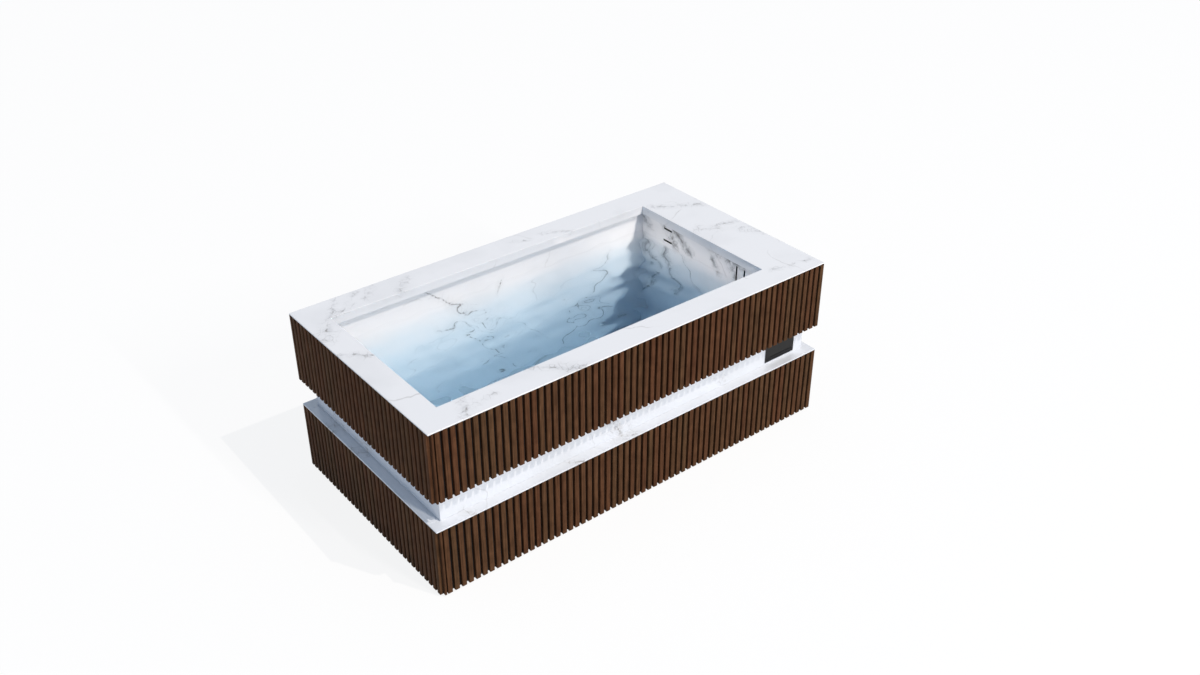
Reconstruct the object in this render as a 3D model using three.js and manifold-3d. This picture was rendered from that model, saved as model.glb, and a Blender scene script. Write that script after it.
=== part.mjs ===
// A free-standing cold plunge tub: a white marble top slab and basin over two bands of walnut slats,
// parted by a recessed marble waist, with its pump, filter and chiller under the wide deck at +X.
// Millimetres, +Z up, origin on the floor under the middle of the top slab, front towards -Y.

import * as THREE from 'three';
import { mergeVertices } from 'three/addons/utils/BufferGeometryUtils.js';
import Module from 'manifold-3d';

const wasm = await Module();
wasm.setup();

// Driving dimensions: overall form
const tubLength = 2000;
const tubWidth = 1050;
const slabThickness = 6;
const ledgeThickness = 6;
const slatHeight = 312;
const waistHeight = 123;
const floorGap = 9;
const waistRecess = 45;
const claddingThickness = 12;

// Opening in the top slab and the basin below it
const rimLeft = 114;
const rimRight = 254;
const rimFront = 124;
const rimBack = 137;
const lipHeight = 40;
const lipSetback = 20;
const basinWall = 12;
const basinFloorThickness = 20;
const insulationThickness = 30;

// Slatted panels
const slatWidth = 20;
const slatGap = 12;
const slatDepth = 14;
const backingThickness = 9;
const closingStripWidth = 8;
const closingStripGap = 5;
const battenHeight = 50;
const battenMargin = 12;
const glueLap = 1;

// Steel frame and the skids below it
const railWidth = 60;
const railHeight = 40;
const bearerWidth = 40;
const postLength = 40;
const postClearance = 2;
const tubeWall = 3;
const skidHeight = 25;
const skidWidth = 50;
const skidEndMargin = 60;
const outerBearerInset = 300;

// Touch panel on the front of the waist
const controlWidth = 174;
const controlHeight = 110;
const controlRightMargin = 102;
const controlLedgeGap = 13;
const controlFlange = 4;
const controlDepth = 30;
const controlWall = 3;
const bezelWidth = 4;
const bezelOverlap = 4;
const glassThickness = 3;

// Water slots in the right end wall, measured down from the top of the slab
const returnSlotLength = 57;
const returnSlotDrops = [69, 129];
const returnSlotY = 228;
const suctionSlotLength = 100;
const suctionSlotDrop = 65;
const suctionSlotYs = [-279, -231];
const slotOpening = 9;
const jetWidth = 3.5;
const jetMargin = 4;
const fittingDepth = 34;
const fittingMargin = 14;
const spigotLength = 25;
const snoutRecess = 1;

// Equipment in the bay under the deck
const trayThickness = 3;
const trayEndMargin = 20;
const pipeRadius = 16;
const pipeBore = 13;
const pipeBend = 60;
const pumpY = 10;
const pumpMotorRadius = 42;
const pumpMotorHeight = 80;
const voluteRadius = 55;
const voluteHeight = 50;
const voluteWall = 5;
const inletHeight = 30;
const pumpShaftRadius = 6;
const impellerRadius = 40;
const impellerPlate = 4;
const vaneCount = 6;
const vaneThickness = 4;
const filterY = 190;
const filterRadius = 58;
const filterHeight = 190;
const filterWall = 4;
const cartridgeRadius = 45;
const cartridgeCore = 14;
const cartridgeHeadroom = 30;
const lidPlateHeight = 14;
const lidPlugHeight = 12;
const lidPlugClearance = 1.2;
const lidSealThickness = 2;
const lidGripWidth = 16;
const lidGripHeight = 16;
const exchangerY = 340;
const exchangerWidth = 60;
const exchangerDepth = 100;
const exchangerHeight = 220;
const compressorY = -345;
const compressorRadius = 55;
const compressorHeight = 200;
const compressorFoot = 6;
const fanY = -165;
const fanFrame = 190;
const fanFrameDepth = 40;
const fanPanelGap = 20;
const fanTipClearance = 4;
const fanRingWall = 12;
const fanMotorRadius = 22;
const fanMotorLength = 14;
const fanShaftRadius = 4;
const fanShaftLength = 18;
const fanArmWidth = 10;
const fanArmCount = 4;
const fanHubRadius = 20;
const fanHubLength = 16;
const fanBladeCount = 7;
const fanBladeChord = 30;
const fanBladeThickness = 2.5;
const fanBladePitch = 28;
const airOpening = 170;
const coilDepth = 26;
const coilFinGap = 5;
const coilFinThickness = 2;
const coilCoreDepth = 12;

// Floor drain, its valve and the cable gland
const drainEndMargin = 140;
const drainY = -165;
const drainRadius = 30;
const drainCupBore = 22;
const drainCupFloor = 4;
const strainerRadius = 26;
const strainerThickness = 2.5;
const strainerHoleRadius = 3;
const strainerHoleCount = 8;
const strainerHoleCircle = 14;
const drainPipeRadius = 12;
const drainPipeBore = 9;
const valveLength = 56;
const valveSide = 34;
const valveOutlet = 14;
const leverLength = 50;
const leverWidth = 14;
const leverThickness = 4;
const leverStemRadius = 5;
const leverStemHeight = 12;
const glandY = 279;
const glandRadius = 10;
const glandBore = 5;
const glandFlange = 15;
const glandFlangeHeight = 5;
const glandDrop = 22;

// Clearances and fineness
const fit = 0.3;
const overcut = 1;
const roundSides = 20;
const arcSteps = 5;
const pipeSteps = 18;

// Levels, from the floor up
const lowerTop = floorGap + slatHeight;
const ledgeTop = lowerTop + ledgeThickness;
const upperBottom = ledgeTop + waistHeight;
const slabBottom = upperBottom + slatHeight;
const slabTop = slabBottom + slabThickness;
const railTop = skidHeight + railHeight;
const floorBottom = railTop + fit + insulationThickness + fit;
const floorTop = floorBottom + basinFloorThickness;
const trayTop = railTop + fit + trayThickness;
const standLevel = trayTop + fit;

// Plan lines
const halfLength = tubLength / 2;
const halfWidth = tubWidth / 2;
const panelDepth = slatDepth + backingThickness;
const frameInset = panelDepth + fit;
const claddingBack = waistRecess + claddingThickness;
const open = {
  x: [-halfLength + rimLeft, halfLength - rimRight],
  y: [-halfWidth + rimFront, halfWidth - rimBack],
};
const basin = { x: grow(open.x, lipSetback), y: grow(open.y, lipSetback) };
const shell = { x: grow(basin.x, basinWall), y: grow(basin.y, basinWall) };
const bayInner = shell.x[1] + fit;
const bayOuter = halfLength - claddingBack;
const bayX = (bayInner + bayOuter) / 2;
const flowLevel = standLevel + pumpMotorHeight + voluteHeight / 2;

// Finishes
const marble = { color: 0xe7eaf0, roughness: 0.2, metalness: 0 };
const walnut = { color: 0x5f4030, roughness: 0.55, metalness: 0 };
const paintedSteel = { color: 0x4a4d50, roughness: 0.5, metalness: 0.6 };
const galvanised = { color: 0xa9aeb2, roughness: 0.45, metalness: 0.8 };
const rubber = { color: 0x1d1d1e, roughness: 0.85, metalness: 0 };
const foam = { color: 0xd9d3c0, roughness: 0.95, metalness: 0 };
const blackPlastic = { color: 0x18191b, roughness: 0.45, metalness: 0 };
const darkGlass = { color: 0x302e2f, roughness: 0.08, metalness: 0 };
const greyPlastic = { color: 0x8b9196, roughness: 0.5, metalness: 0 };
const blueFilter = { color: 0xc9d6de, roughness: 0.8, metalness: 0 };
const whitePipe = { color: 0xdfe2e4, roughness: 0.4, metalness: 0 };
const aluminium = { color: 0xb9bdc0, roughness: 0.4, metalness: 0.9 };
const stainless = { color: 0xc3c5c6, roughness: 0.3, metalness: 0.9 };
const brass = { color: 0xb08d4a, roughness: 0.35, metalness: 0.9 };
const redLever = { color: 0xa8322b, roughness: 0.5, metalness: 0 };

// Shape helpers

function grow(range, by) {
  return [range[0] - by, range[1] + by];
}

function around(middle, size) {
  return [middle - size / 2, middle + size / 2];
}

function box(x, y, z) {
  const geometry = new THREE.BoxGeometry(x[1] - x[0], y[1] - y[0], z[1] - z[0]);
  return geometry.translate((x[0] + x[1]) / 2, (y[0] + y[1]) / 2, (z[0] + z[1]) / 2);
}

function prism(shape, z) {
  const settings = { depth: z[1] - z[0], bevelEnabled: false, curveSegments: arcSteps };
  return new THREE.ExtrudeGeometry(shape, settings).translate(0, 0, z[0]);
}

function cylinder(radius, z) {
  const geometry = new THREE.CylinderGeometry(radius, radius, z[1] - z[0], roundSides);
  return geometry.rotateX(Math.PI / 2).translate(0, 0, (z[0] + z[1]) / 2);
}

// A turned piece about the Z axis, from [radius, height] points that run up the outside
function turned(profile) {
  const points = profile.map(([radius, height]) => new THREE.Vector2(radius, height));
  return new THREE.LatheGeometry(points, roundSides).rotateX(Math.PI / 2);
}

function solid(geometry) {
  const bare = geometry.clone();
  bare.deleteAttribute('normal');
  bare.deleteAttribute('uv');
  const merged = mergeVertices(bare);
  return new wasm.Manifold(new wasm.Mesh({
    numProp: 3,
    vertProperties: new Float32Array(merged.attributes.position.array),
    triVerts: new Uint32Array(merged.index.array),
  }));
}

function surface(body) {
  const mesh = body.getMesh();
  const geometry = new THREE.BufferGeometry();
  geometry.setAttribute('position', new THREE.BufferAttribute(mesh.vertProperties, 3));
  geometry.setIndex(new THREE.BufferAttribute(mesh.triVerts, 1));
  const flat = geometry.toNonIndexed();
  flat.computeVertexNormals();
  return flat;
}

function join(first, ...others) {
  return surface(others.reduce((body, next) => body.add(solid(next)), solid(first)));
}

function cut(first, ...tools) {
  return surface(tools.reduce((body, tool) => body.subtract(solid(tool)), solid(first)));
}

// A rectangular tube, open at both ends of the named axis
function tubeBar(x, y, z, along) {
  const core = { x, y, z };
  for (const axis of Object.keys(core)) {
    core[axis] = grow(core[axis], axis === along ? overcut : -tubeWall);
  }
  return cut(box(x, y, z), box(core.x, core.y, core.z));
}

// A round pipe through a list of points, with its corners rounded
function pipe(points) {
  const path = new THREE.CurvePath();
  let start = points[0];
  for (let i = 1; i < points.length - 1; i += 1) {
    const corner = points[i];
    const before = cornerPoint(corner, points[i - 1]);
    const after = cornerPoint(corner, points[i + 1]);
    path.add(new THREE.LineCurve3(start, before));
    path.add(new THREE.QuadraticBezierCurve3(before, corner, after));
    start = after;
  }
  path.add(new THREE.LineCurve3(start, points[points.length - 1]));
  const section = new THREE.Shape().absarc(0, 0, pipeRadius, 0, 2 * Math.PI);
  section.holes.push(new THREE.Path().absarc(0, 0, pipeBore, 0, 2 * Math.PI));
  return new THREE.ExtrudeGeometry(section, {
    steps: pipeSteps,
    curveSegments: arcSteps,
    extrudePath: path,
  });
}

function cornerPoint(corner, towards) {
  const step = new THREE.Vector3().subVectors(towards, corner);
  return corner.clone().add(step.setLength(Math.min(pipeBend, step.length() / 2)));
}

// A comb seen from above: teeth from the face at v = 0, on a plate behind them
function combOutline(teeth, plate, toothDepth, fullDepth) {
  const corners = [[plate[0], fullDepth], [plate[1], fullDepth], [plate[1], toothDepth]];
  for (const [start, end] of teeth) {
    corners.push([end, toothDepth], [end, 0], [start, 0], [start, toothDepth]);
  }
  corners.push([plate[0], toothDepth]);
  const distinct = corners.filter((point, i) => {
    const last = corners[(i + corners.length - 1) % corners.length];
    return Math.hypot(point[0] - last[0], point[1] - last[1]) > 0;
  });
  return new THREE.Shape(distinct.map(([u, v]) => new THREE.Vector2(u, v)));
}

function addPart(parent, name, geometry, finish) {
  const mesh = new THREE.Mesh(geometry, new THREE.MeshStandardMaterial(finish));
  mesh.name = name;
  parent.add(mesh);
}

// A group whose local +X runs along one side of the tub and whose local +Y points inwards from it
function sideGroup(parent, turn, distance) {
  const group = new THREE.Group();
  group.rotation.z = turn;
  group.position.set(distance * Math.sin(turn), -distance * Math.cos(turn), 0);
  parent.add(group);
  return group;
}

const sides = [
  { name: 'front', turn: 0, distance: halfWidth, along: halfLength, long: true },
  { name: 'right', turn: Math.PI / 2, distance: halfLength, along: halfWidth, long: false },
  { name: 'back', turn: Math.PI, distance: halfWidth, along: halfLength, long: true },
  { name: 'left', turn: -Math.PI / 2, distance: halfLength, along: halfWidth, long: false },
];

// Marble: slab with its drop edge, ledge, waist cladding and basin

function topSlab() {
  const lipReach = lipSetback - fit;
  const lip = box(grow(open.x, lipReach), grow(open.y, lipReach), [slabTop - lipHeight, slabTop]);
  const plate = box([-halfLength, halfLength], [-halfWidth, halfWidth], [slabBottom, slabTop]);
  const opening = box(open.x, open.y, [slabTop - lipHeight - overcut, slabTop + overcut]);
  return surface(solid(plate).add(solid(lip)).subtract(solid(opening)));
}

// The long sides run the full length and the short ones stand between them
function sideRun(side, inset) {
  const trim = side.long ? 0 : inset + fit;
  return [trim - side.along, side.along - trim];
}

function ledgeStrip(side) {
  return box(sideRun(side, claddingBack), [0, claddingBack], [lowerTop, ledgeTop]);
}

function waistPanel(side) {
  const reach = side.along - waistRecess;
  const run = side.long ? [-reach, reach] : sideRun(side, claddingBack);
  const panel = box(run, [waistRecess, claddingBack], [ledgeTop + fit, slabBottom - fit]);
  return side.name === 'front' ? cut(panel, controlCutout()) : panel;
}

function basinFloor() {
  const plate = box(shell.x, shell.y, [floorBottom, floorTop]);
  const hole = cylinder(drainRadius, [floorBottom - overcut, floorTop + overcut]);
  return cut(plate, hole.translate(drainX(), drainY, 0));
}

function basinPanels(parent) {
  const height = [floorTop + fit, slabBottom - fit];
  const between = grow(basin.y, -fit);
  addPart(parent, 'basin_wall_front', box(shell.x, [shell.y[0], basin.y[0]], height), marble);
  addPart(parent, 'basin_wall_back', box(shell.x, [basin.y[1], shell.y[1]], height), marble);
  addPart(parent, 'basin_wall_left', box([shell.x[0], basin.x[0]], between, height), marble);
  const endWall = box([basin.x[1], shell.x[1]], between, height);
  const slots = [...returnSlots(), ...suctionSlots()];
  const tools = slots.map((slot) => box(grow([basin.x[1], shell.x[1]], overcut), slot.y, slot.z));
  addPart(parent, 'basin_wall_right', cut(endWall, ...tools), marble);
  addPart(parent, 'basin_floor', basinFloor(), marble);
}

// Walnut: each panel is slats glued to a backing board, hung on battens or set on the base rails

function slatRow(side) {
  const rowEnd = side.long ? side.along : side.along - slatDepth - fit;
  const cornerGap = slatDepth + fit;
  const reserve = side.long ? closingStripWidth + closingStripGap : 0;
  const rowStart = cornerGap + reserve - side.along;
  const slats = [];
  for (let end = rowEnd; end - slatWidth >= rowStart; end -= slatWidth + slatGap) {
    slats.push([end - slatWidth, end]);
  }
  if (side.long) {
    slats.push([cornerGap - side.along, cornerGap - side.along + closingStripWidth]);
  }
  return slats;
}

function slatPanel(side, z) {
  const backingEnd = side.along - fit - (side.long ? slatDepth : panelDepth);
  const outline = combOutline(slatRow(side), [-backingEnd, backingEnd], slatDepth, panelDepth);
  return prism(outline, z);
}

function upperPanel(side) {
  const z = [upperBottom, slabBottom - fit];
  const end = side.along - fit - (side.long ? panelDepth : waistRecess);
  const reach = [panelDepth - glueLap, waistRecess - fit];
  const low = box([-end, end], reach, [z[0] + battenMargin, z[0] + battenMargin + battenHeight]);
  const high = box([-end, end], reach, [z[1] - battenMargin - battenHeight, z[1] - battenMargin]);
  return join(slatPanel(side, z), low, high);
}

function lowerPanel(side) {
  const panel = slatPanel(side, [floorGap, lowerTop - fit]);
  if (side.name !== 'right') {
    return panel;
  }
  const depth = [slatDepth, panelDepth + overcut];
  return cut(panel, box(around(fanY, airOpening), depth, around(fanLevel(), airOpening)));
}

// Steel frame on rubber skids

function frameParts(parent) {
  const z = [skidHeight, railTop];
  const outerX = halfLength - frameInset;
  const outerY = halfWidth - frameInset;
  const between = [railWidth + fit - outerY, outerY - railWidth - fit];
  for (const [name, sign] of [['front', -1], ['back', 1]]) {
    const y = around(sign * (outerY - railWidth / 2), railWidth);
    addPart(parent, `base_rail_${name}`, tubeBar([-outerX, outerX], y, z, 'x'), paintedSteel);
    const skidX = [skidEndMargin - outerX, outerX - skidEndMargin];
    const skidY = around(sign * (outerY - railWidth / 2), skidWidth);
    addPart(parent, `skid_${name}`, box(skidX, skidY, [0, skidHeight - fit]), rubber);
  }
  for (const [name, sign] of [['left', -1], ['right', 1]]) {
    const x = around(sign * (outerX - railWidth / 2), railWidth);
    addPart(parent, `base_rail_${name}`, tubeBar(x, between, z, 'y'), paintedSteel);
  }
  const bearers = {
    left: shell.x[0] + outerBearerInset,
    middle: (shell.x[0] + outerBearerInset + shell.x[1]) / 2,
    right: shell.x[1],
  };
  for (const [name, x] of Object.entries(bearers)) {
    addPart(parent, `bearer_${name}`, tubeBar(around(x, bearerWidth), between, z, 'y'), paintedSteel);
  }
}

// Posts stand in the corners, between the waist cladding and the basin
function cornerPosts(parent) {
  const inset = claddingBack + 2 * fit;
  const width = rimLeft - lipSetback - basinWall - inset - postClearance;
  const z = [railTop + fit, slabBottom - fit];
  for (const [xName, xSign] of [['left', -1], ['right', 1]]) {
    for (const [yName, ySign] of [['front', -1], ['back', 1]]) {
      const x = around(xSign * (halfLength - inset - width / 2), width);
      const y = around(ySign * (halfWidth - inset - postLength / 2), postLength);
      addPart(parent, `post_${yName}_${xName}`, tubeBar(x, y, z, 'z'), paintedSteel);
    }
  }
}

function insulation() {
  const z = [railTop + fit, floorBottom - fit];
  const board = box(shell.x, shell.y, z);
  const cup = cylinder(drainRadius, grow(z, overcut)).translate(drainX(), drainY, 0);
  const grooveY = around(drainY, 2 * (drainPipeRadius + fit));
  return cut(board, cup, box([drainX(), shell.x[1] + overcut], grooveY, grow(z, overcut)));
}

// Touch panel: a moulded housing let into the front of the waist, closed by dark glass

function controlPlate() {
  const right = halfLength - controlRightMargin;
  const bottom = ledgeTop + controlLedgeGap;
  return { x: [right - controlWidth, right], z: [bottom, bottom + controlHeight] };
}

function controlBody() {
  const plate = controlPlate();
  return { x: grow(plate.x, -bezelWidth - bezelOverlap), z: grow(plate.z, -bezelWidth - bezelOverlap) };
}

function controlCutout() {
  const body = controlBody();
  return box(grow(body.x, fit), [waistRecess - overcut, claddingBack + overcut], grow(body.z, fit));
}

function controlHousing() {
  const plate = controlPlate();
  const body = controlBody();
  const face = waistRecess - fit;
  const flange = box(plate.x, [face - controlFlange, face], plate.z);
  const back = box(body.x, [face - fit, face + controlDepth], body.z);
  const seat = box(
    grow(plate.x, -bezelWidth), [face - controlFlange - overcut, face - controlFlange + glassThickness],
    grow(plate.z, -bezelWidth),
  );
  const hollow = box(
    grow(body.x, -controlWall), [face - controlFlange, face + controlDepth - controlWall],
    grow(body.z, -controlWall),
  );
  return surface(solid(flange).add(solid(back)).subtract(solid(seat)).subtract(solid(hollow)));
}

function controlGlass() {
  const plate = controlPlate();
  const front = waistRecess - fit - controlFlange - fit;
  return box(
    grow(plate.x, -bezelWidth - fit), [front, front + glassThickness], grow(plate.z, -bezelWidth - fit),
  );
}

// Water fittings behind the right end wall, with snouts in the wall's slots

function returnSlots() {
  const y = around(returnSlotY, returnSlotLength);
  return returnSlotDrops.map((drop) => ({ y, z: around(slabTop - drop, slotOpening), flat: true }));
}

function suctionSlots() {
  const top = slabTop - suctionSlotDrop;
  return suctionSlotYs.map((y) => ({
    y: around(y, slotOpening), z: [top - suctionSlotLength, top], flat: false,
  }));
}

function fittingSize(slots) {
  const y = [Math.min(...slots.map((slot) => slot.y[0])), Math.max(...slots.map((slot) => slot.y[1]))];
  const z = [Math.min(...slots.map((slot) => slot.z[0])), Math.max(...slots.map((slot) => slot.z[1]))];
  return { x: [bayInner, bayInner + fittingDepth], y: grow(y, fittingMargin), z: grow(z, fittingMargin) };
}

// Where a pipe meets the spigot below a fitting
function fittingPort(slots) {
  const size = fittingSize(slots);
  const middle = (range) => (range[0] + range[1]) / 2;
  return new THREE.Vector3(middle(size.x), middle(size.y), size.z[0] - spigotLength);
}

function waterFitting(slots) {
  const size = fittingSize(slots);
  const port = fittingPort(slots);
  const face = basin.x[1] + snoutRecess;
  const spigot = cylinder(pipeRadius, [port.z, size.z[0] + glueLap]).translate(port.x, port.y, 0);
  const reach = [face, bayInner + glueLap];
  const snouts = slots.map((slot) => box(reach, grow(slot.y, -fit), grow(slot.z, -fit)));
  const jets = slots.map((slot) => {
    const wide = slot.flat ? grow(slot.y, -jetMargin) : around((slot.y[0] + slot.y[1]) / 2, jetWidth);
    const tall = slot.flat ? around((slot.z[0] + slot.z[1]) / 2, jetWidth) : grow(slot.z, -jetMargin);
    return box([face - overcut, port.x + glueLap], wide, tall);
  });
  const riser = cylinder(pipeBore, [port.z - overcut, size.z[1] - fittingMargin]);
  const body = join(box(size.x, size.y, size.z), spigot, ...snouts);
  return cut(body, ...jets, riser.translate(port.x, port.y, 0));
}

function fittings(parent) {
  addPart(parent, 'return_fitting', waterFitting(returnSlots()), blackPlastic);
  addPart(parent, 'suction_fitting', waterFitting(suctionSlots()), blackPlastic);
}

// Pump: motor below, volute above, water in at the top and out towards the filter

function pumpCasing() {
  const base = standLevel;
  const shelf = base + pumpMotorHeight;
  const top = shelf + voluteHeight;
  const body = turned([
    [0, base],
    [pumpMotorRadius, base],
    [pumpMotorRadius, shelf],
    [voluteRadius, shelf],
    [voluteRadius, top],
    [pipeRadius, top],
    [pipeRadius, top + inletHeight],
    [pipeBore, top + inletHeight],
    [pipeBore, top - voluteWall],
    [voluteRadius - voluteWall, top - voluteWall],
    [voluteRadius - voluteWall, shelf + voluteWall],
    [pumpShaftRadius, shelf + voluteWall],
    [pumpShaftRadius, shelf + voluteHeight / 2],
    [0, shelf + voluteHeight / 2],
  ]);
  const start = voluteRadius - voluteWall / 2;
  const outlet = flowTube(pipeRadius, [start, pumpReach()]);
  const bore = flowTube(pipeBore, [start - voluteWall, pumpReach() + overcut]);
  return cut(join(body, outlet), bore).translate(bayX, pumpY, 0);
}

// A round bar along Y at the height where the water passes from piece to piece
function flowTube(radius, y) {
  return cylinder(radius, y).rotateX(-Math.PI / 2).translate(0, 0, flowLevel);
}

// How far the pump's outlet reaches, halfway to the filter's inlet
function pumpReach() {
  return (filterY - pumpY - filterRadius + voluteRadius) / 2;
}

function impeller() {
  const bottom = standLevel + pumpMotorHeight + voluteWall + fit;
  const height = voluteHeight / 2;
  const hub = turned([
    [pumpShaftRadius + fit, bottom],
    [impellerRadius, bottom],
    [impellerRadius, bottom + impellerPlate],
    [pumpShaftRadius + fit + impellerPlate, bottom + impellerPlate],
    [pumpShaftRadius + fit + impellerPlate, bottom + height],
    [pumpShaftRadius + fit, bottom + height],
    [pumpShaftRadius + fit, bottom],
  ]);
  const vanes = [];
  for (let i = 0; i < vaneCount; i += 1) {
    const reach = [pumpShaftRadius + fit + impellerPlate / 2, impellerRadius - fit];
    const vane = box(reach, around(0, vaneThickness), grow([bottom, bottom + height], -glueLap));
    vanes.push(vane.rotateZ((2 * Math.PI * i) / vaneCount));
  }
  return join(hub, ...vanes).translate(bayX, pumpY, 0);
}

// Filter: a canister on the tray, a pleated cartridge in it and a quarter-turn lid

function filterCanister() {
  const base = standLevel;
  const top = base + filterHeight;
  const body = turned([
    [0, base],
    [filterRadius, base],
    [filterRadius, top],
    [filterRadius - filterWall, top],
    [filterRadius - filterWall, base + filterWall],
    [0, base + filterWall],
  ]);
  const start = filterRadius - filterWall / 2;
  const inlet = -(filterY - pumpY - pumpReach() - fit);
  const outlet = exchangerReach();
  const spigots = [flowTube(pipeRadius, [inlet, -start]), flowTube(pipeRadius, [start, outlet])];
  const bores = [
    flowTube(pipeBore, [inlet - overcut, filterWall - filterRadius + overcut]),
    flowTube(pipeBore, [filterRadius - filterWall - overcut, outlet + overcut]),
  ];
  return cut(join(body, ...spigots), ...bores).translate(bayX, filterY, 0);
}

// How far the filter's outlet reaches, up to the heat exchanger's face
function exchangerReach() {
  return exchangerY - exchangerWidth / 2 - filterY - fit;
}

function filterCartridge() {
  const bottom = standLevel + filterWall + fit;
  const top = standLevel + filterHeight - cartridgeHeadroom;
  return turned([
    [cartridgeCore, bottom],
    [cartridgeRadius, bottom],
    [cartridgeRadius, top],
    [cartridgeCore, top],
    [cartridgeCore, bottom],
  ]).translate(bayX, filterY, 0);
}

// Flat ring on the canister's rim, which the lid presses down on
function lidSeal() {
  const bottom = standLevel + filterHeight + fit;
  const inner = filterRadius - filterWall;
  return turned([
    [inner, bottom],
    [filterRadius, bottom],
    [filterRadius, bottom + lidSealThickness],
    [inner, bottom + lidSealThickness],
    [inner, bottom],
  ]).translate(bayX, filterY, 0);
}

function filterLid() {
  const seat = standLevel + filterHeight + lidSealThickness + 2 * fit;
  const top = seat + lidPlateHeight;
  const plug = filterRadius - filterWall - lidPlugClearance;
  const body = turned([
    [0, seat - lidPlugHeight],
    [plug, seat - lidPlugHeight],
    [plug, seat],
    [filterRadius, seat],
    [filterRadius, top],
    [0, top],
  ]);
  const grip = box(around(0, 2 * plug), around(0, lidGripWidth), [top - glueLap, top + lidGripHeight]);
  return join(body, grip).translate(bayX, filterY, 0);
}

// Chiller: compressor, finned condenser with its fan, and the heat exchanger that cools the water

function compressor() {
  const base = standLevel;
  const top = base + compressorHeight;
  const shoulder = compressorRadius / 2;
  const profile = [[0, base], [compressorRadius + compressorFoot, base]];
  profile.push([compressorRadius + compressorFoot, base + compressorFoot]);
  profile.push([compressorRadius, base + compressorFoot]);
  for (let i = 0; i < arcSteps; i += 1) {
    const angle = (Math.PI / 2) * (i / arcSteps);
    profile.push([compressorRadius * Math.cos(angle), top - shoulder + shoulder * Math.sin(angle)]);
  }
  profile.push([0, top]);
  return turned(profile).translate(bayX, compressorY, 0);
}

function exchangerTop() {
  return new THREE.Vector3(bayX, exchangerY, standLevel + exchangerHeight + spigotLength);
}

function heatExchanger() {
  const z = [standLevel, standLevel + exchangerHeight];
  const block = box(around(bayX, exchangerDepth), around(exchangerY, exchangerWidth), z);
  const port = exchangerTop();
  const spigot = cylinder(pipeRadius, [z[1] - glueLap, port.z]).translate(bayX, exchangerY, 0);
  const riser = cylinder(pipeBore, [z[1] - spigotLength, port.z + overcut]);
  const inlet = flowTube(pipeBore, around(-exchangerWidth / 2, exchangerWidth));
  const bores = [riser, inlet].map((bore) => bore.translate(bayX, exchangerY, 0));
  return cut(join(block, spigot), ...bores);
}

function fanLevel() {
  return standLevel + fanFrame / 2;
}

// X of the frame's outer face, an air gap behind the service panel
function fanFace() {
  return halfLength - panelDepth - fanPanelGap;
}

// Pieces of the fan are made about +Z and then laid along +X
function layFan(geometry) {
  return geometry.rotateY(Math.PI / 2).translate(fanFace() - fanFrameDepth, fanY, fanLevel());
}

function fanHole() {
  return fanFrame / 2 - fanRingWall;
}

function fanShroud() {
  const frame = box(around(0, fanFrame), around(0, fanFrame), [0, fanFrameDepth]);
  const ring = cut(frame, cylinder(fanHole(), [-overcut, fanFrameDepth + overcut]));
  const motor = cylinder(fanMotorRadius, [0, fanMotorLength]);
  const shaft = cylinder(fanShaftRadius, [fanMotorLength - glueLap, fanMotorLength + fanShaftLength]);
  const arms = [];
  for (let i = 0; i < fanArmCount; i += 1) {
    const reach = [fanMotorRadius - glueLap, fanHole() + glueLap];
    const arm = box(reach, around(0, fanArmWidth), [0, fanMotorLength / 2]);
    arms.push(arm.rotateZ((2 * Math.PI * (i + 1 / 2)) / fanArmCount));
  }
  return layFan(join(ring, motor, shaft, ...arms));
}

function fanRotor() {
  const bottom = fanMotorLength + fit;
  const hub = cut(
    cylinder(fanHubRadius, [bottom, bottom + fanHubLength]),
    cylinder(fanShaftRadius + fit, [bottom - overcut, bottom + fanHubLength + overcut]),
  );
  const middle = bottom + fanHubLength / 2;
  const tip = fanHole() - fanTipClearance;
  const root = (fanHubRadius + fanShaftRadius) / 2;
  const blades = [];
  for (let i = 0; i < fanBladeCount; i += 1) {
    const blade = box([root, tip], around(0, fanBladeChord), around(0, fanBladeThickness));
    blade.rotateX(THREE.MathUtils.degToRad(fanBladePitch)).translate(0, 0, middle);
    blades.push(blade.rotateZ((2 * Math.PI * i) / fanBladeCount));
  }
  return layFan(cut(join(hub, ...blades), cylinder(fanShaftRadius + fit, [0, fanFrameDepth])));
}

function condenserCoil() {
  const fins = [];
  const end = fanFrame / 2;
  for (let right = end; right - coilFinThickness >= -end; right -= coilFinGap + coilFinThickness) {
    fins.push([right - coilFinThickness, right]);
  }
  const outline = combOutline(fins, [-end, end], coilDepth - coilCoreDepth, coilDepth);
  const coil = prism(outline, [standLevel, standLevel + fanFrame]);
  return coil.rotateZ(-Math.PI / 2).translate(fanFace() - fanFrameDepth - fit - coilDepth, fanY, 0);
}

// Tray, drain and gland

function equipmentTray() {
  const y = halfWidth - frameInset - railWidth - trayEndMargin;
  const plate = box([bayInner, halfLength - frameInset], [-y, y], [railTop + fit, trayTop]);
  const hole = cylinder(glandRadius + fit, [railTop - overcut, trayTop + overcut]);
  return cut(plate, hole.translate(bayX, glandY, 0));
}

function drainX() {
  return basin.x[1] - drainEndMargin;
}

function drainLevel() {
  return (railTop + fit + floorBottom - fit) / 2;
}

// X where the drain pipe meets its valve
function drainEnd() {
  return bayInner + drainPipeRadius;
}

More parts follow.
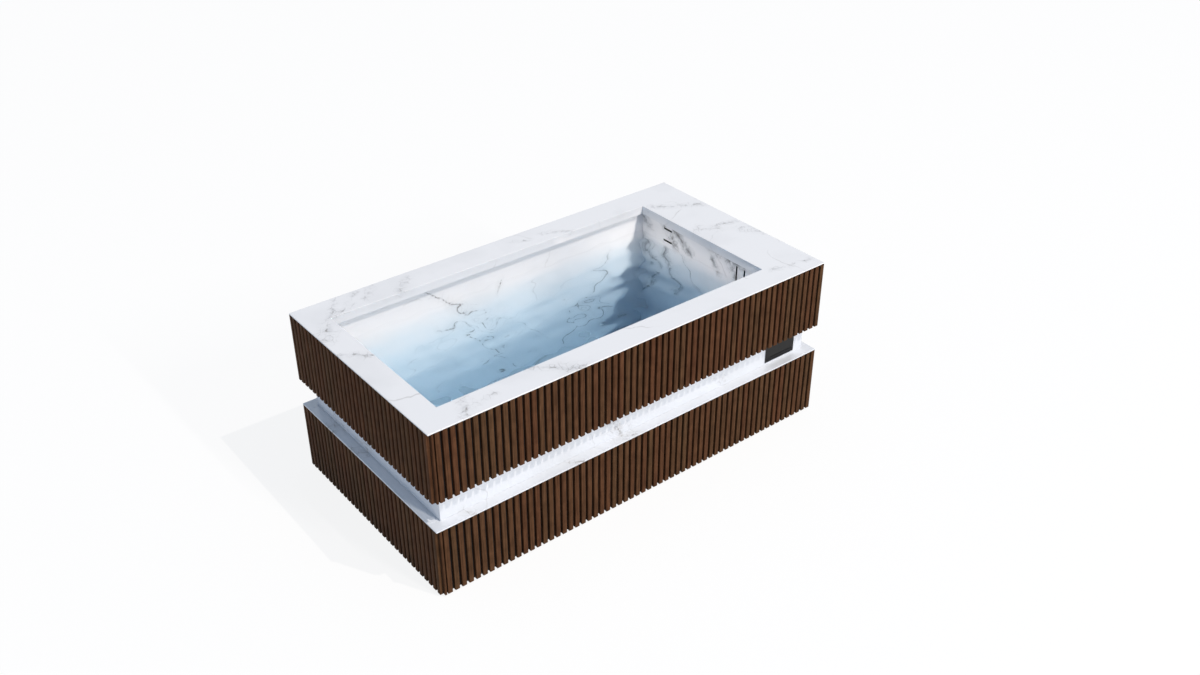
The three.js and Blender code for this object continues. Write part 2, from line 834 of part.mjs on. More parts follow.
function floorDrain() {
  const bottom = railTop + 2 * fit;
  const stand = (radius, z) => cylinder(radius, z).translate(drainX(), drainY, 0);
  const run = (radius, x) => cylinder(radius, x).rotateY(Math.PI / 2).translate(0, drainY, drainLevel());
  const cup = stand(drainRadius - fit, [bottom, floorTop]);
  const bore = stand(drainCupBore, [bottom + drainCupFloor, floorTop + overcut]);
  const seat = stand(strainerRadius, [floorTop - strainerThickness - fit, floorTop + overcut]);
  const tail = run(drainPipeRadius, [drainX() + drainCupBore + glueLap, drainEnd()]);
  const tailBore = run(drainPipeBore, [drainX(), drainEnd() + overcut]);
  return cut(join(cup, tail), bore, seat, tailBore);
}

// Pierced disc that lies in the mouth of the drain, flush with the basin's floor
function drainStrainer() {
  const z = [floorTop - strainerThickness, floorTop];
  const disc = cylinder(strainerRadius - fit, z);
  const holes = [cylinder(strainerHoleRadius, grow(z, overcut))];
  for (let i = 0; i < strainerHoleCount; i += 1) {
    const hole = cylinder(strainerHoleRadius, grow(z, overcut)).translate(strainerHoleCircle, 0, 0);
    holes.push(hole.rotateZ((2 * Math.PI * i) / strainerHoleCount));
  }
  return cut(disc, ...holes).translate(drainX(), drainY, 0);
}

function valveMiddle() {
  return drainEnd() + fit + valveLength / 2;
}

function drainValve() {
  const x = around(valveMiddle(), valveLength);
  const z = [standLevel, drainLevel() + valveSide / 2];
  const block = box(x, around(drainY, valveSide), z);
  const waterway = cylinder(drainPipeBore, grow(x, overcut)).rotateY(Math.PI / 2);
  const stem = cylinder(leverStemRadius, [z[1] - glueLap, z[1] + leverStemHeight]);
  const body = join(block, stem.translate(valveMiddle(), drainY, 0));
  return cut(body, waterway.translate(0, drainY, drainLevel()), drainOutlet());
}

// Water leaves through the side of the valve, away from the fan
function drainOutlet() {
  const bore = cylinder(drainPipeBore, [0, valveOutlet + overcut]).rotateX(Math.PI / 2);
  return bore.translate(valveMiddle(), drainY - valveSide / 2 + valveOutlet, drainLevel());
}

function drainLever() {
  const bottom = drainLevel() + valveSide / 2 + fit;
  const outline = new THREE.Shape();
  outline.absarc(0, 0, leverWidth / 2, 0, Math.PI, false);
  outline.lineTo(-leverWidth / 2, -leverLength + leverWidth / 2);
  outline.absarc(0, -leverLength + leverWidth / 2, leverWidth / 2, Math.PI, 2 * Math.PI, false);
  outline.holes.push(new THREE.Path().absarc(0, 0, leverStemRadius + fit, 0, 2 * Math.PI));
  return prism(outline, [bottom, bottom + leverThickness]).translate(valveMiddle(), drainY, 0);
}

function cableGland() {
  const under = railTop;
  const above = trayTop + fit;
  return turned([
    [glandBore, under - glandDrop],
    [glandRadius, under - glandDrop],
    [glandRadius, under - glandFlangeHeight],
    [glandFlange, under - glandFlangeHeight],
    [glandFlange, under],
    [glandRadius, under],
    [glandRadius, above],
    [glandFlange, above],
    [glandFlange, above + glandFlangeHeight],
    [glandBore, above + glandFlangeHeight],
    [glandBore, under - glandDrop],
  ]).translate(bayX, glandY, 0);
}

function pipes(parent) {
  const suction = fittingPort(suctionSlots());
  const inletTop = standLevel + pumpMotorHeight + voluteHeight + inletHeight;
  const pumpInlet = new THREE.Vector3(bayX, pumpY, inletTop);
  addPart(parent, 'suction_pipe', pipeBetween(suction, pumpInlet), whitePipe);
  addPart(parent, 'return_pipe', pipeBetween(fittingPort(returnSlots()), exchangerTop()), whitePipe);
}

// Down from the upper port, across, and down to the lower one
function pipeBetween(upper, lower) {
  const level = (upper.z + lower.z) / 2;
  return pipe([
    new THREE.Vector3(upper.x, upper.y, upper.z - fit),
    new THREE.Vector3(upper.x, upper.y, level),
    new THREE.Vector3(lower.x, lower.y, level),
    new THREE.Vector3(lower.x, lower.y, lower.z + fit),
  ]);
}

// The tub

const tub = new THREE.Group();
addPart(tub, 'top_slab', topSlab(), marble);
basinPanels(tub);
for (const side of sides) {
  const group = sideGroup(tub, side.turn, side.distance);
  addPart(group, `ledge_${side.name}`, ledgeStrip(side), marble);
  addPart(group, `waist_panel_${side.name}`, waistPanel(side), marble);
  addPart(group, `upper_slats_${side.name}`, upperPanel(side), walnut);
  addPart(group, `lower_slats_${side.name}`, lowerPanel(side), walnut);
  if (side.name === 'front') {
    addPart(group, 'control_housing', controlHousing(), blackPlastic);
    addPart(group, 'control_glass', controlGlass(), darkGlass);
  }
}
frameParts(tub);
cornerPosts(tub);
addPart(tub, 'floor_insulation', insulation(), foam);
fittings(tub);
pipes(tub);
addPart(tub, 'equipment_tray', equipmentTray(), galvanised);
addPart(tub, 'pump_casing', pumpCasing(), greyPlastic);
addPart(tub, 'pump_impeller', impeller(), blackPlastic);
addPart(tub, 'filter_canister', filterCanister(), greyPlastic);
addPart(tub, 'filter_cartridge', filterCartridge(), blueFilter);
addPart(tub, 'lid_seal', lidSeal(), rubber);
addPart(tub, 'filter_lid', filterLid(), blackPlastic);
addPart(tub, 'compressor', compressor(), paintedSteel);
addPart(tub, 'heat_exchanger', heatExchanger(), stainless);
addPart(tub, 'condenser_coil', condenserCoil(), aluminium);
addPart(tub, 'fan_shroud', fanShroud(), blackPlastic);
addPart(tub, 'fan_rotor', fanRotor(), greyPlastic);
addPart(tub, 'floor_drain', floorDrain(), stainless);
addPart(tub, 'drain_strainer', drainStrainer(), stainless);
addPart(tub, 'drain_valve', drainValve(), brass);
addPart(tub, 'drain_lever', drainLever(), redLever);
addPart(tub, 'cable_gland', cableGland(), blackPlastic);

export default tub;
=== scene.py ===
"""Looks of a free-standing cold plunge tub: marble, walnut slats, water and the machinery under its deck.

Metres, +Z up, origin on the floor under the middle of the top slab, front towards -Y, wide deck towards +X.
"""
import logging
import math
from dataclasses import dataclass
from enum import Enum
from functools import partial
from typing import Any, Callable, Iterable, Optional, Sequence

import bmesh
import bpy
from bmesh.types import BMesh, BMVert
from bpy.types import Material, Mesh, NodeSocket, NodeTree, Object
from mathutils import Matrix, Vector


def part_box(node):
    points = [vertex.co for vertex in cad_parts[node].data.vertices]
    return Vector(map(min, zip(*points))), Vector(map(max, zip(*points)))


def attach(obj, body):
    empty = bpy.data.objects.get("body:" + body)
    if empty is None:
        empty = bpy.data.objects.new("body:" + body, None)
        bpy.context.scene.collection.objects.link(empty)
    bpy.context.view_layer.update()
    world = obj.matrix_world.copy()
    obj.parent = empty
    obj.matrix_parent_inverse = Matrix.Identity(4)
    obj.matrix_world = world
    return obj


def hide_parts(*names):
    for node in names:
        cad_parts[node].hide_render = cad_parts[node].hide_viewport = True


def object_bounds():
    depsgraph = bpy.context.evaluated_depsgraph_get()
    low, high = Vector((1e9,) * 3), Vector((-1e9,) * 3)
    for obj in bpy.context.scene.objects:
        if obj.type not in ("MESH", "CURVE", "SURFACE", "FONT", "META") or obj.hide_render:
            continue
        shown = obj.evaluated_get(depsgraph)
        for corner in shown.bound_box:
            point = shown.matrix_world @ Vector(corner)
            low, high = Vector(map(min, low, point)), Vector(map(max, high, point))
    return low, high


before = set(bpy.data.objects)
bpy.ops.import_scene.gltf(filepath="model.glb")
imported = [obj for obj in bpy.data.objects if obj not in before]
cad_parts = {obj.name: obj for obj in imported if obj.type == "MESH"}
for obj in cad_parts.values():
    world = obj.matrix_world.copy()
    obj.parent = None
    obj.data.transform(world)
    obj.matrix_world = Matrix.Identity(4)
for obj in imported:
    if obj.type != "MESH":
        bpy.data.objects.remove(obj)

CAD_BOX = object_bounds()
MM = 0.001
LOG = logging.getLogger("plunge_tub")

# Rounding of edges, as a stone mason, joiner, fitter or moulder leaves them
STONE_EDGE = 1.5 * MM
BOARD_EDGE = 0.8 * MM
METAL_EDGE = 1.0 * MM
PLASTIC_EDGE = 1.2 * MM
SMALL_EDGE = 0.5 * MM
SEAL_EDGE = 0.4 * MM
FINE_EDGE = 0.3 * MM
EDGE_FACES = 2
EDGE_ANGLE = math.radians(35)
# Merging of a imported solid's loose triangles into whole faces
MERGE_DISTANCE = 0.001 * MM
FLAT_ANGLE = math.radians(0.5)

WHITE = (1.0, 1.0, 1.0, 1.0)
# Half widths from a stroke where a stone has none
FAR_OFF = 1000.0
Point = tuple[float, float, float]
Adder = Callable[..., Any]


def linear(hex_colour: str) -> tuple[float, float, float, float]:
    """Turns an sRGB hex colour into linear RGBA, by the sRGB curve.

    Args:
        hex_colour: Six hex digits, with or without a leading '#'.

    Returns:
        Linear red, green and blue, and an alpha of 1.
    """
    digits = hex_colour.lstrip("#")
    levels = [int(digits[i : i + 2], 16) / 255 for i in (0, 2, 4)]
    red, green, blue = (x / 12.92 if x <= 0.04045 else ((x + 0.055) / 1.055) ** 2.4 for x in levels)
    return red, green, blue, 1.0


def pick(sockets: Iterable[NodeSocket], name: str) -> NodeSocket:
    """Finds a socket by its identifier, or else by its shown name.

    Args:
        sockets: A node's inputs or outputs.
        name: The socket's identifier or name.

    Returns:
        The socket.
    """
    found = list(sockets)
    for key in ("identifier", "name"):
        for socket in found:
            if getattr(socket, key) == name:
                return socket
    raise KeyError(f"no socket {name!r} among {[s.identifier for s in found]}")


def add_node(
    tree: NodeTree, kind: str, inputs: Optional[dict[str, Any]] = None, output: str = "", **settings: Any
) -> Any:
    """Adds a node with its settings, values and links.

    Args:
        tree: The tree that gets the node.
        kind: The node's type name.
        inputs: Values, or sockets to link, by input name.
        output: The output to return, or nothing for the node itself.
        settings: Properties of the node.

    Returns:
        The named output socket, or the node.
    """
    node = tree.nodes.new(kind)
    for name, value in settings.items():
        setattr(node, name, value)
    for name, value in (inputs or {}).items():
        socket = pick(node.inputs, name)
        if isinstance(value, NodeSocket):
            tree.links.new(value, socket)
        else:
            socket.default_value = value
    return pick(node.outputs, output) if output else node


class Slot(Enum):
    """The record's material slots."""

    MARBLE = "marble"
    WALNUT = "walnut"
    PAINTED_STEEL = "painted_steel"
    GALVANISED = "galvanised"
    RUBBER = "rubber"
    FOAM = "foam"
    BLACK_PLASTIC = "black_plastic"
    DARK_GLASS = "dark_glass"
    GREY_PLASTIC = "grey_plastic"
    FILTER_MEDIA = "filter_media"
    WHITE_PIPE = "white_pipe"
    ALUMINIUM = "aluminium"
    STAINLESS = "stainless"
    BRASS = "brass"
    RED_LEVER = "red_lever"


class Body(Enum):
    """The bodies that pieces ride on."""

    TUB = "tub"
    SERVICE_PANEL = "service_panel"
    FAN = "fan"
    IMPELLER = "impeller"
    FILTER_CAP = "filter_cap"
    DRAIN_HANDLE = "drain_handle"


class Side(Enum):
    """The four sides, each with the turn that brings the front onto it."""

    FRONT = 0
    RIGHT = 90
    BACK = 180
    LEFT = -90

    @property
    def label(self) -> str:
        """The side's name as the solids' names spell it."""
        return self.name.lower()

    @property
    def is_long(self) -> bool:
        """True for the front and the back."""
        return self in (Side.FRONT, Side.BACK)

    def matrix(self) -> Matrix:
        """Carries a panel made along +X, with +Y inwards from its face, to this side.

        Returns:
            The move, from the panel's own place.
        """
        turn = math.radians(self.value)
        reach = CAD_BOX[1].y if self.is_long else CAD_BOX[1].x
        place = Vector((reach * math.sin(turn), -reach * math.cos(turn), 0))
        return Matrix.Translation(place) @ Matrix.Rotation(turn, 4, "Z")


class Band(Enum):
    """The two bands of slats."""

    UPPER = "upper"
    LOWER = "lower"


# Finishes


@dataclass(frozen=True)
class Finish:
    """A material of the object, made once and shared.

    Attributes:
        name: The real material and how its surface was made.
    """

    name: str

    def material(self) -> Material:
        """The finish's material, made at its first use.

        Returns:
            The material.
        """
        known = bpy.data.materials.get(self.name)
        if known is not None:
            return known
        material = bpy.data.materials.new(self.name)
        material.use_nodes = True
        material.node_tree.nodes.clear()
        add = partial(add_node, material.node_tree)
        shown = {"Surface": self.shade(add)}
        volume = self.fill(add)
        if volume is not None:
            shown["Volume"] = volume
        add("ShaderNodeOutputMaterial", shown)
        return material

    def shade(self, add: Adder) -> NodeSocket:
        """Builds the surface shader.

        Args:
            add: Adds a node to the material.

        Returns:
            The shader's output.
        """
        raise NotImplementedError

    def fill(self, add: Adder) -> Optional[NodeSocket]:
        """Builds what fills the inside, which most materials don't show."""
        return None


@dataclass(frozen=True)
class Vein:
    """One vein stroke in the stone, a wandering line between two points.

    Attributes:
        start: Where it begins, in metres.
        end: Where it ends.
        width: Half its width, in metres.
    """

    start: Point
    end: Point
    width: float


@dataclass(frozen=True)
class PolishedMarble(Finish):
    """White marble, sawn and polished: cool white, broken warm grey veins in pale clouds, a clear shine.

    Attributes:
        veins: The strokes that the main veins follow.
        line_share: How much of the vein's colour a stroke shows.
        crackle_share: How much of it the fine cracks beside a stroke show.
        drift_share: How much of it the faint veins all through the stone show.
        smoke_share: How much of the cloud's colour lies between the cracks.
        halo_share: How much of it lies close beside a stroke.
        haze_share: How much of it the hazy patches show.
        least: How much of a stroke shows in its faintest stretches, blotch_size long.
        ground: Colour of the plain stone.
        cloud: Colour of the hazy patches, haze_size wide.
        vein: Colour of the veins.
        wander: How far a stroke wanders, and wander_size how long its bends are.
        jitter: How far it shakes, and jitter_size how long the shakes are.
        drift_size: Spacing of the faint veins, which show in stretches drift_patch long.
        crackle_size: Size of the pieces between the cracks.
        crackle_reach: How far the cracks go, in half widths of the stroke.
        halo: How far the haze beside a stroke goes, in half widths.
        shine: Lowest and highest roughness.
        index: Index of refraction, which sets the mirror.
    """

    veins: tuple[Vein, ...] = ()
    line_share: float = 0.9
    crackle_share: float = 0.45
    drift_share: float = 0.3
    smoke_share: float = 0.35
    halo_share: float = 0.85
    haze_share: float = 0.35
    least: float = 0.15
    blotch_size: float = 26 * MM
    ground: str = "#EFF0F2"
    cloud: str = "#CFD1D4"
    haze_size: float = 300 * MM
    vein: str = "#7D7873"
    wander: float = 34 * MM
    wander_size: float = 150 * MM
    jitter: float = 9 * MM
    jitter_size: float = 30 * MM
    drift_size: float = 420 * MM
    drift_patch: float = 180 * MM
    crackle_size: float = 34 * MM
    crackle_reach: float = 17.0
    halo: float = 7.0
    shine: tuple[float, float] = (0.14, 0.22)
    index: float = 1.5

    def shade(self, add: Adder) -> NodeSocket:
        """Lays clouds, cracks and veins over the ground, under one polish.

        Args:
            add: Adds a node to the material.

        Returns:
            The shader's output.
        """
        place = add("ShaderNodeTexCoord", output="Object")
        bent = self.bend(add, place, self.wander_size, self.wander, detail=2.0)
        bent = self.bend(add, bent, self.jitter_size, self.jitter, detail=3.0)
        blotches = add(
            "ShaderNodeTexNoise", {"Vector": place, "Scale": 1 / self.blotch_size, "Detail": 4.0}, "Fac"
        )
        clouds = add(
            "ShaderNodeTexNoise", {"Vector": bent, "Scale": 1 / self.haze_size, "Detail": 3.0}, "Fac"
        )
        haze = add("ShaderNodeMapRange", {"Value": clouds, "From Min": 0.48, "From Max": 0.75}, "Result")
        line, halo, smoke = self.beside_strokes(add, bent, blotches)
        layers = (
            (self.cloud, haze, self.haze_share),
            (self.cloud, smoke, self.smoke_share),
            (self.cloud, halo, self.halo_share),
            (self.vein, self.crackle(add, bent, smoke), self.crackle_share),
            (self.vein, self.drifting_veins(add, bent), self.drift_share),
            (self.vein, line, self.line_share),
        )
        colour: Any = linear(self.ground)
        for tint, mask, share in layers:
            cover = add(
                "ShaderNodeMath", {"Value": mask, "Value_001": share}, "Value", operation="MULTIPLY"
            )
            colour = add(
                "ShaderNodeMix",
                {"Factor_Float": cover, "A_Color": colour, "B_Color": linear(tint)},
                "Result_Color",
                data_type="RGBA",
            )
        low, high = self.shine
        shine = add("ShaderNodeMapRange", {"Value": blotches, "To Min": low, "To Max": high}, "Result")
        return add(
            "ShaderNodeBsdfPrincipled",
            {"Base Color": colour, "Roughness": shine, "IOR": self.index},
            "BSDF",
        )

    def bend(self, add: Adder, place: NodeSocket, size: float, reach: float, detail: float) -> NodeSocket:
        """Shifts a place by noise, so that straight strokes wander.

        Args:
            add: Adds a node to the material.
            place: The place to shift.
            size: Size of the bends, in metres.
            reach: How far they go, in metres.
            detail: Octaves of finer bends.

        Returns:
            The shifted place.
        """
        cloud = add("ShaderNodeTexNoise", {"Vector": place, "Scale": 1 / size, "Detail": detail}, "Color")
        swing = add(
            "ShaderNodeVectorMath",
            {"Vector": cloud, "Vector_001": (0.5, 0.5, 0.5)},
            "Vector",
            operation="SUBTRACT",
        )
        return add(
            "ShaderNodeVectorMath",
            {"Vector": swing, "Vector_001": (2 * reach,) * 3, "Vector_002": place},
            "Vector",
            operation="MULTIPLY_ADD",
        )

    def beside_strokes(self, add: Adder, place: NodeSocket, blotches: NodeSocket) -> list[NodeSocket]:
        """Masks by the distance from the nearest stroke, fainter in some stretches.

        Args:
            add: Adds a node to the material.
            place: The bent place.
            blotches: The noise that makes stretches faint.

        Returns:
            The stroke's own line, the halo beside it and the wide smoke round it.
        """
        near = self.nearness(add, place)
        gaps = add(
            "ShaderNodeMapRange",
            {"Value": blotches, "From Min": 0.36, "From Max": 0.62, "To Min": self.least, "To Max": 1.0},
            "Result",
            interpolation_type="SMOOTHSTEP",
        )
        masks = []
        for start, end, ease in (
            (0.2, 1.6, "SMOOTHSTEP"),
            (0.0, self.halo, "SMOOTHERSTEP"),
            (0.0, self.crackle_reach, "SMOOTHSTEP"),
        ):
            fade = add(
                "ShaderNodeMapRange",
                {"Value": near, "From Min": start, "From Max": end, "To Min": 1.0, "To Max": 0.0},
                "Result",
                interpolation_type=ease,
            )
            mask = add("ShaderNodeMath", {"Value": fade, "Value_001": gaps}, "Value", operation="MULTIPLY")
            masks.append(mask)
        return masks

    def nearness(self, add: Adder, place: NodeSocket) -> NodeSocket | float:
        """Distance to the nearest vein stroke, in half widths of that stroke.

        Args:
            add: Adds a node to the material.
            place: The bent place.

        Returns:
            The distance, or a large number where there are no strokes.
        """
        nearest: Any = FAR_OFF
        for vein in self.veins:
            run = Vector(vein.end) - Vector(vein.start)
            offset = add(
                "ShaderNodeVectorMath",
                {"Vector": place, "Vector_001": vein.start},
                "Vector",
                operation="SUBTRACT",
            )
            share = add(
                "ShaderNodeVectorMath",
                {"Vector": offset, "Vector_001": run / run.length_squared},
                "Value",
                operation="DOT_PRODUCT",
            )
            share = add("ShaderNodeClamp", {"Value": share}, "Result")
            foot = add("ShaderNodeVectorMath", {"Vector": run, "Scale": share}, "Vector", operation="SCALE")
            gap = add(
                "ShaderNodeVectorMath",
                {"Vector": offset, "Vector_001": foot},
                "Value",
                operation="DISTANCE",
            )
            widths = add(
                "ShaderNodeMath", {"Value": gap, "Value_001": vein.width}, "Value", operation="DIVIDE"
            )
            nearest = add(
                "ShaderNodeMath", {"Value": widths, "Value_001": nearest}, "Value", operation="MINIMUM"
            )
        return nearest

    def drifting_veins(self, add: Adder, place: NodeSocket) -> NodeSocket:
        """Faint veins all through the stone, along the middle level of a slow noise.

        Args:
            add: Adds a node to the material.
            place: The bent place.

        Returns:
            Their mask.
        """
        level = add(
            "ShaderNodeTexNoise", {"Vector": place, "Scale": 1 / self.drift_size, "Detail": 1.0}, "Fac"
        )
        away = add("ShaderNodeMath", {"Value": level, "Value_001": 0.5}, "Value", operation="SUBTRACT")
        away = add("ShaderNodeMath", {"Value": away}, "Value", operation="ABSOLUTE")
        line = add(
            "ShaderNodeMapRange",
            {"Value": away, "From Min": 0.0, "From Max": 0.008, "To Min": 1.0, "To Max": 0.0},
            "Result",
            interpolation_type="SMOOTHSTEP",
        )
        patch = add(
            "ShaderNodeTexNoise", {"Vector": place, "Scale": 1 / self.drift_patch, "Detail": 2.0}, "Fac"
        )
        shown = add("ShaderNodeMapRange", {"Value": patch, "From Min": 0.5, "From Max": 0.66}, "Result")
        return add("ShaderNodeMath", {"Value": line, "Value_001": shown}, "Value", operation="MULTIPLY")

    def crackle(self, add: Adder, place: NodeSocket, smoke: NodeSocket) -> NodeSocket:
        """Fine cracks between pieces of broken stone, within the smoke round the strokes.

        Args:
            add: Adds a node to the material.
            place: The bent place.
            smoke: The mask that they stay within.

        Returns:
            Their mask.
        """
        away = add(
            "ShaderNodeTexVoronoi",
            {"Vector": place, "Scale": 1 / self.crackle_size},
            "Distance",
            feature="DISTANCE_TO_EDGE",
        )
        cracks = add(
            "ShaderNodeMapRange",
            {"Value": away, "From Min": 0.0, "From Max": 0.07, "To Min": 1.0, "To Max": 0.0},
            "Result",
            interpolation_type="SMOOTHSTEP",
        )
        return add("ShaderNodeMath", {"Value": cracks, "Value_001": smoke}, "Value", operation="MULTIPLY")


@dataclass(frozen=True)
class OiledWalnut(Finish):
    """Walnut slats, planed and oiled: brown with darker streaks along the slat, and a dull sheen.

    Attributes:
        light: Colour between the streaks, and dark that of the streaks.
        red: One end of the slats' own tones, and olive the other.
        tone_share: How much of its own tone a slat shows.
        tone_shift: How far the pattern moves from the first tone to the last, in metres.
        streak: Width of a streak. Real pores, under 1 mm, are too fine to show, so it is drawn coarser.
        figure: Size of the clouds in the wood, and depth how far they darken and lighten it.
        stretch: How far the streaks are drawn out along the slat.
        relief: Depth of the streaks.
        sheen: Roughness in the streaks and between them.
        gloss: Strength of the mirror; 0.5 is that of the index.
    """

    light: str = "#654630"
    dark: str = "#392519"
    red: str = "#583726"
    olive: str = "#523F2C"
    tone_share: float = 0.45
    tone_shift: Point = (17.0, 29.0, 11.0)
    streak: float = 6 * MM
    figure: float = 45 * MM
    depth: tuple[float, float] = (0.82, 1.14)
    stretch: float = 0.045
    relief: float = 0.25 * MM
    sheen: tuple[float, float] = (0.58, 0.44)
    gloss: float = 0.02
    index: float = 1.45

    def shade(self, add: Adder) -> NodeSocket:
        """Streaks along +Z, shifted and toned from slat to slat.

        Args:
            add: Adds a node to the material.

        Returns:
            The shader's output.
        """
        place = add("ShaderNodeTexCoord", output="Object")
        tone = add("ShaderNodeAttribute", output="Fac", attribute_name=SlatRow.TONE)
        shift = add(
            "ShaderNodeVectorMath", {"Vector": self.tone_shift, "Scale": tone}, "Vector", operation="SCALE"
        )
        moved = add(
            "ShaderNodeVectorMath", {"Vector": place, "Vector_001": shift}, "Vector", operation="ADD"
        )
        drawn = add("ShaderNodeMapping", {"Vector": moved, "Scale": (1, 1, self.stretch)}, "Vector")
        streaks = add(
            "ShaderNodeTexNoise",
            {"Vector": drawn, "Scale": 1 / self.streak, "Detail": 4.0, "Roughness": 0.6},
            "Fac",
        )
        figure = add(
            "ShaderNodeTexNoise", {"Vector": moved, "Scale": 1 / self.figure, "Detail": 2.0}, "Fac"
        )
        light = add(
            "ShaderNodeMapRange",
            {"Value": streaks, "From Min": 0.3, "From Max": 0.72},
            "Result",
            interpolation_type="SMOOTHSTEP",
        )
        mixed = []
        for share, first, second in ((light, self.dark, self.light), (tone, self.red, self.olive)):
            ends = {"A_Color": linear(first), "B_Color": linear(second)}
            colour = add("ShaderNodeMix", {"Factor_Float": share, **ends}, "Result_Color", data_type="RGBA")
            mixed.append(colour)
        grain, own = mixed
        colour = add(
            "ShaderNodeMix",
            {"Factor_Float": self.tone_share, "A_Color": grain, "B_Color": own},
            "Result_Color",
            data_type="RGBA",
        )
        low, high = self.depth
        depth = add(
            "ShaderNodeMapRange",
            {"Value": figure, "From Min": 0.3, "From Max": 0.7, "To Min": low, "To Max": high},
            "Result",
        )
        colour = add(
            "ShaderNodeVectorMath", {"Vector": colour, "Scale": depth}, "Vector", operation="SCALE"
        )
        low, high = self.sheen
        sheen = add("ShaderNodeMapRange", {"Value": streaks, "To Min": low, "To Max": high}, "Result")
        bump = add(
            "ShaderNodeBump", {"Height": streaks, "Strength": 0.6, "Distance": self.relief}, "Normal"
        )
        surface = {"Base Color": colour, "Roughness": sheen, "Normal": bump, "IOR": self.index}
        return add("ShaderNodeBsdfPrincipled", {**surface, "Specular IOR Level": self.gloss}, "BSDF")


@dataclass(frozen=True)
class GrainedSurface(Finish):
    """A plain surface with the fine mottle of how it was made: moulded, cast, rolled, coated or cut.

    Attributes:
        colour: Main colour.
        shade_colour: The darker colour of its mottle.
        grit: Size of the mottle, in metres.
        stretch: How far the mottle is drawn out along each axis.
        roughness: Lowest and highest roughness.
        relief: Height of the mottle, in metres.
        metallic: 1 for bare metal.
        index: Index of refraction; a metal keeps the default.
        gloss: Strength of the mirror on a surface that isn't metal; 0.5 is that of the index.
    """

    colour: str
    shade_colour: str
    grit: float
    stretch: Point = (1.0, 1.0, 1.0)
    roughness: tuple[float, float] = (0.4, 0.6)
    relief: float = 0.05 * MM
    metallic: float = 0.0
    index: float = 1.5
    gloss: float = 0.5

    def shade(self, add: Adder) -> NodeSocket:
        """Mottles colour, shine and relief by one noise.

        Args:
            add: Adds a node to the material.

        Returns:
            The shader's output.
        """
        place = add("ShaderNodeTexCoord", output="Object")
        drawn = add("ShaderNodeMapping", {"Vector": place, "Scale": self.stretch}, "Vector")
        grain = add("ShaderNodeTexNoise", {"Vector": drawn, "Scale": 1 / self.grit, "Detail": 3.0}, "Fac")
        share = add("ShaderNodeMapRange", {"Value": grain, "From Min": 0.3, "From Max": 0.7}, "Result")
        colour = add(
            "ShaderNodeMix",
            {"Factor_Float": share, "A_Color": linear(self.shade_colour), "B_Color": linear(self.colour)},
            "Result_Color",
            data_type="RGBA",
        )
        low, high = self.roughness
        shine = add(
            "ShaderNodeMapRange",
            {"Value": grain, "From Min": 0.3, "From Max": 0.7, "To Min": low, "To Max": high},
            "Result",
        )
        bump = add("ShaderNodeBump", {"Height": grain, "Strength": 0.5, "Distance": self.relief}, "Normal")
        surface = {"Base Color": colour, "Roughness": shine, "Normal": bump, "Metallic": self.metallic}
        return add(
            "ShaderNodeBsdfPrincipled",
            {**surface, "IOR": self.index, "Specular IOR Level": self.gloss},
            "BSDF",
        )


@dataclass(frozen=True)
class StillWater(Finish):
    """Clean water below its surface: clear at the rim and pale blue with depth.

    Attributes:
        tint: The linear colour that water leaves of white light.
        density: How fast it does, per metre.
    """

    tint: tuple[float, float, float] = (0.03, 0.47, 0.74)
    density: float = 0.72

    def shade(self, add: Adder) -> NodeSocket:
        """Nothing bends or shines below the surface."""
        return add("ShaderNodeBsdfTransparent", {"Color": WHITE}, "BSDF")

    def fill(self, add: Adder) -> Optional[NodeSocket]:
        """Water takes red light first, so depth turns it blue."""
        return add(
            "ShaderNodeVolumeAbsorption", {"Color": (*self.tint, 1), "Density": self.density}, "Volume"
        )


@dataclass(frozen=True)
class RippledSkin(Finish):
    """The water's moving surface: ripples shake what lies below, and a low view meets a faint mirror.

    Attributes:
        index: Index of refraction, a little under water's.
        mirror_index: Index that sets the mirror, lower still, so that the dark end of the basin stays dark.
        lamp_tint: The linear colour that the surface leaves of the light that goes down.
    """

    index: float = 1.3
    mirror_index: float = 1.1
    lamp_tint: tuple[float, float, float] = (0.995, 0.998, 1.0)

    def shade(self, add: Adder) -> NodeSocket:
        """Bends what looks into it, and is a plain film for the light that goes down through it.

        A look that the flat underside would turn back goes straight on instead, so that no ripple is black.

        Args:
            add: Adds a node to the material.

        Returns:
            The shader's output.
        """
        bent = add(
            "ShaderNodeBsdfRefraction", {"Color": WHITE, "Roughness": 0.0, "IOR": self.index}, "BSDF"
        )
        straight = add("ShaderNodeBsdfTransparent", {"Color": WHITE}, "BSDF")
        mirror = add("ShaderNodeBsdfAnisotropic", {"Color": WHITE, "Roughness": 0.02}, "BSDF")
        film = add("ShaderNodeBsdfTransparent", {"Color": (*self.lamp_tint, 1)}, "BSDF")
        turned = add("ShaderNodeFresnel", {"IOR": self.index}, "Fac")
        mirrored = add("ShaderNodeFresnel", {"IOR": self.mirror_index}, "Fac")
        path = add("ShaderNodeLightPath").outputs
        lit = add(
            "ShaderNodeMath",
            {"Value": path["Is Shadow Ray"], "Value_001": path["Is Diffuse Ray"]},
            "Value",
            operation="MAXIMUM",
        )
        water = bent
        for share, other in ((turned, straight), (mirrored, mirror), (lit, film)):
            water = add(
                "ShaderNodeMixShader", {"Fac": share, "Shader": water, "Shader_001": other}, "Shader"
            )
        return water


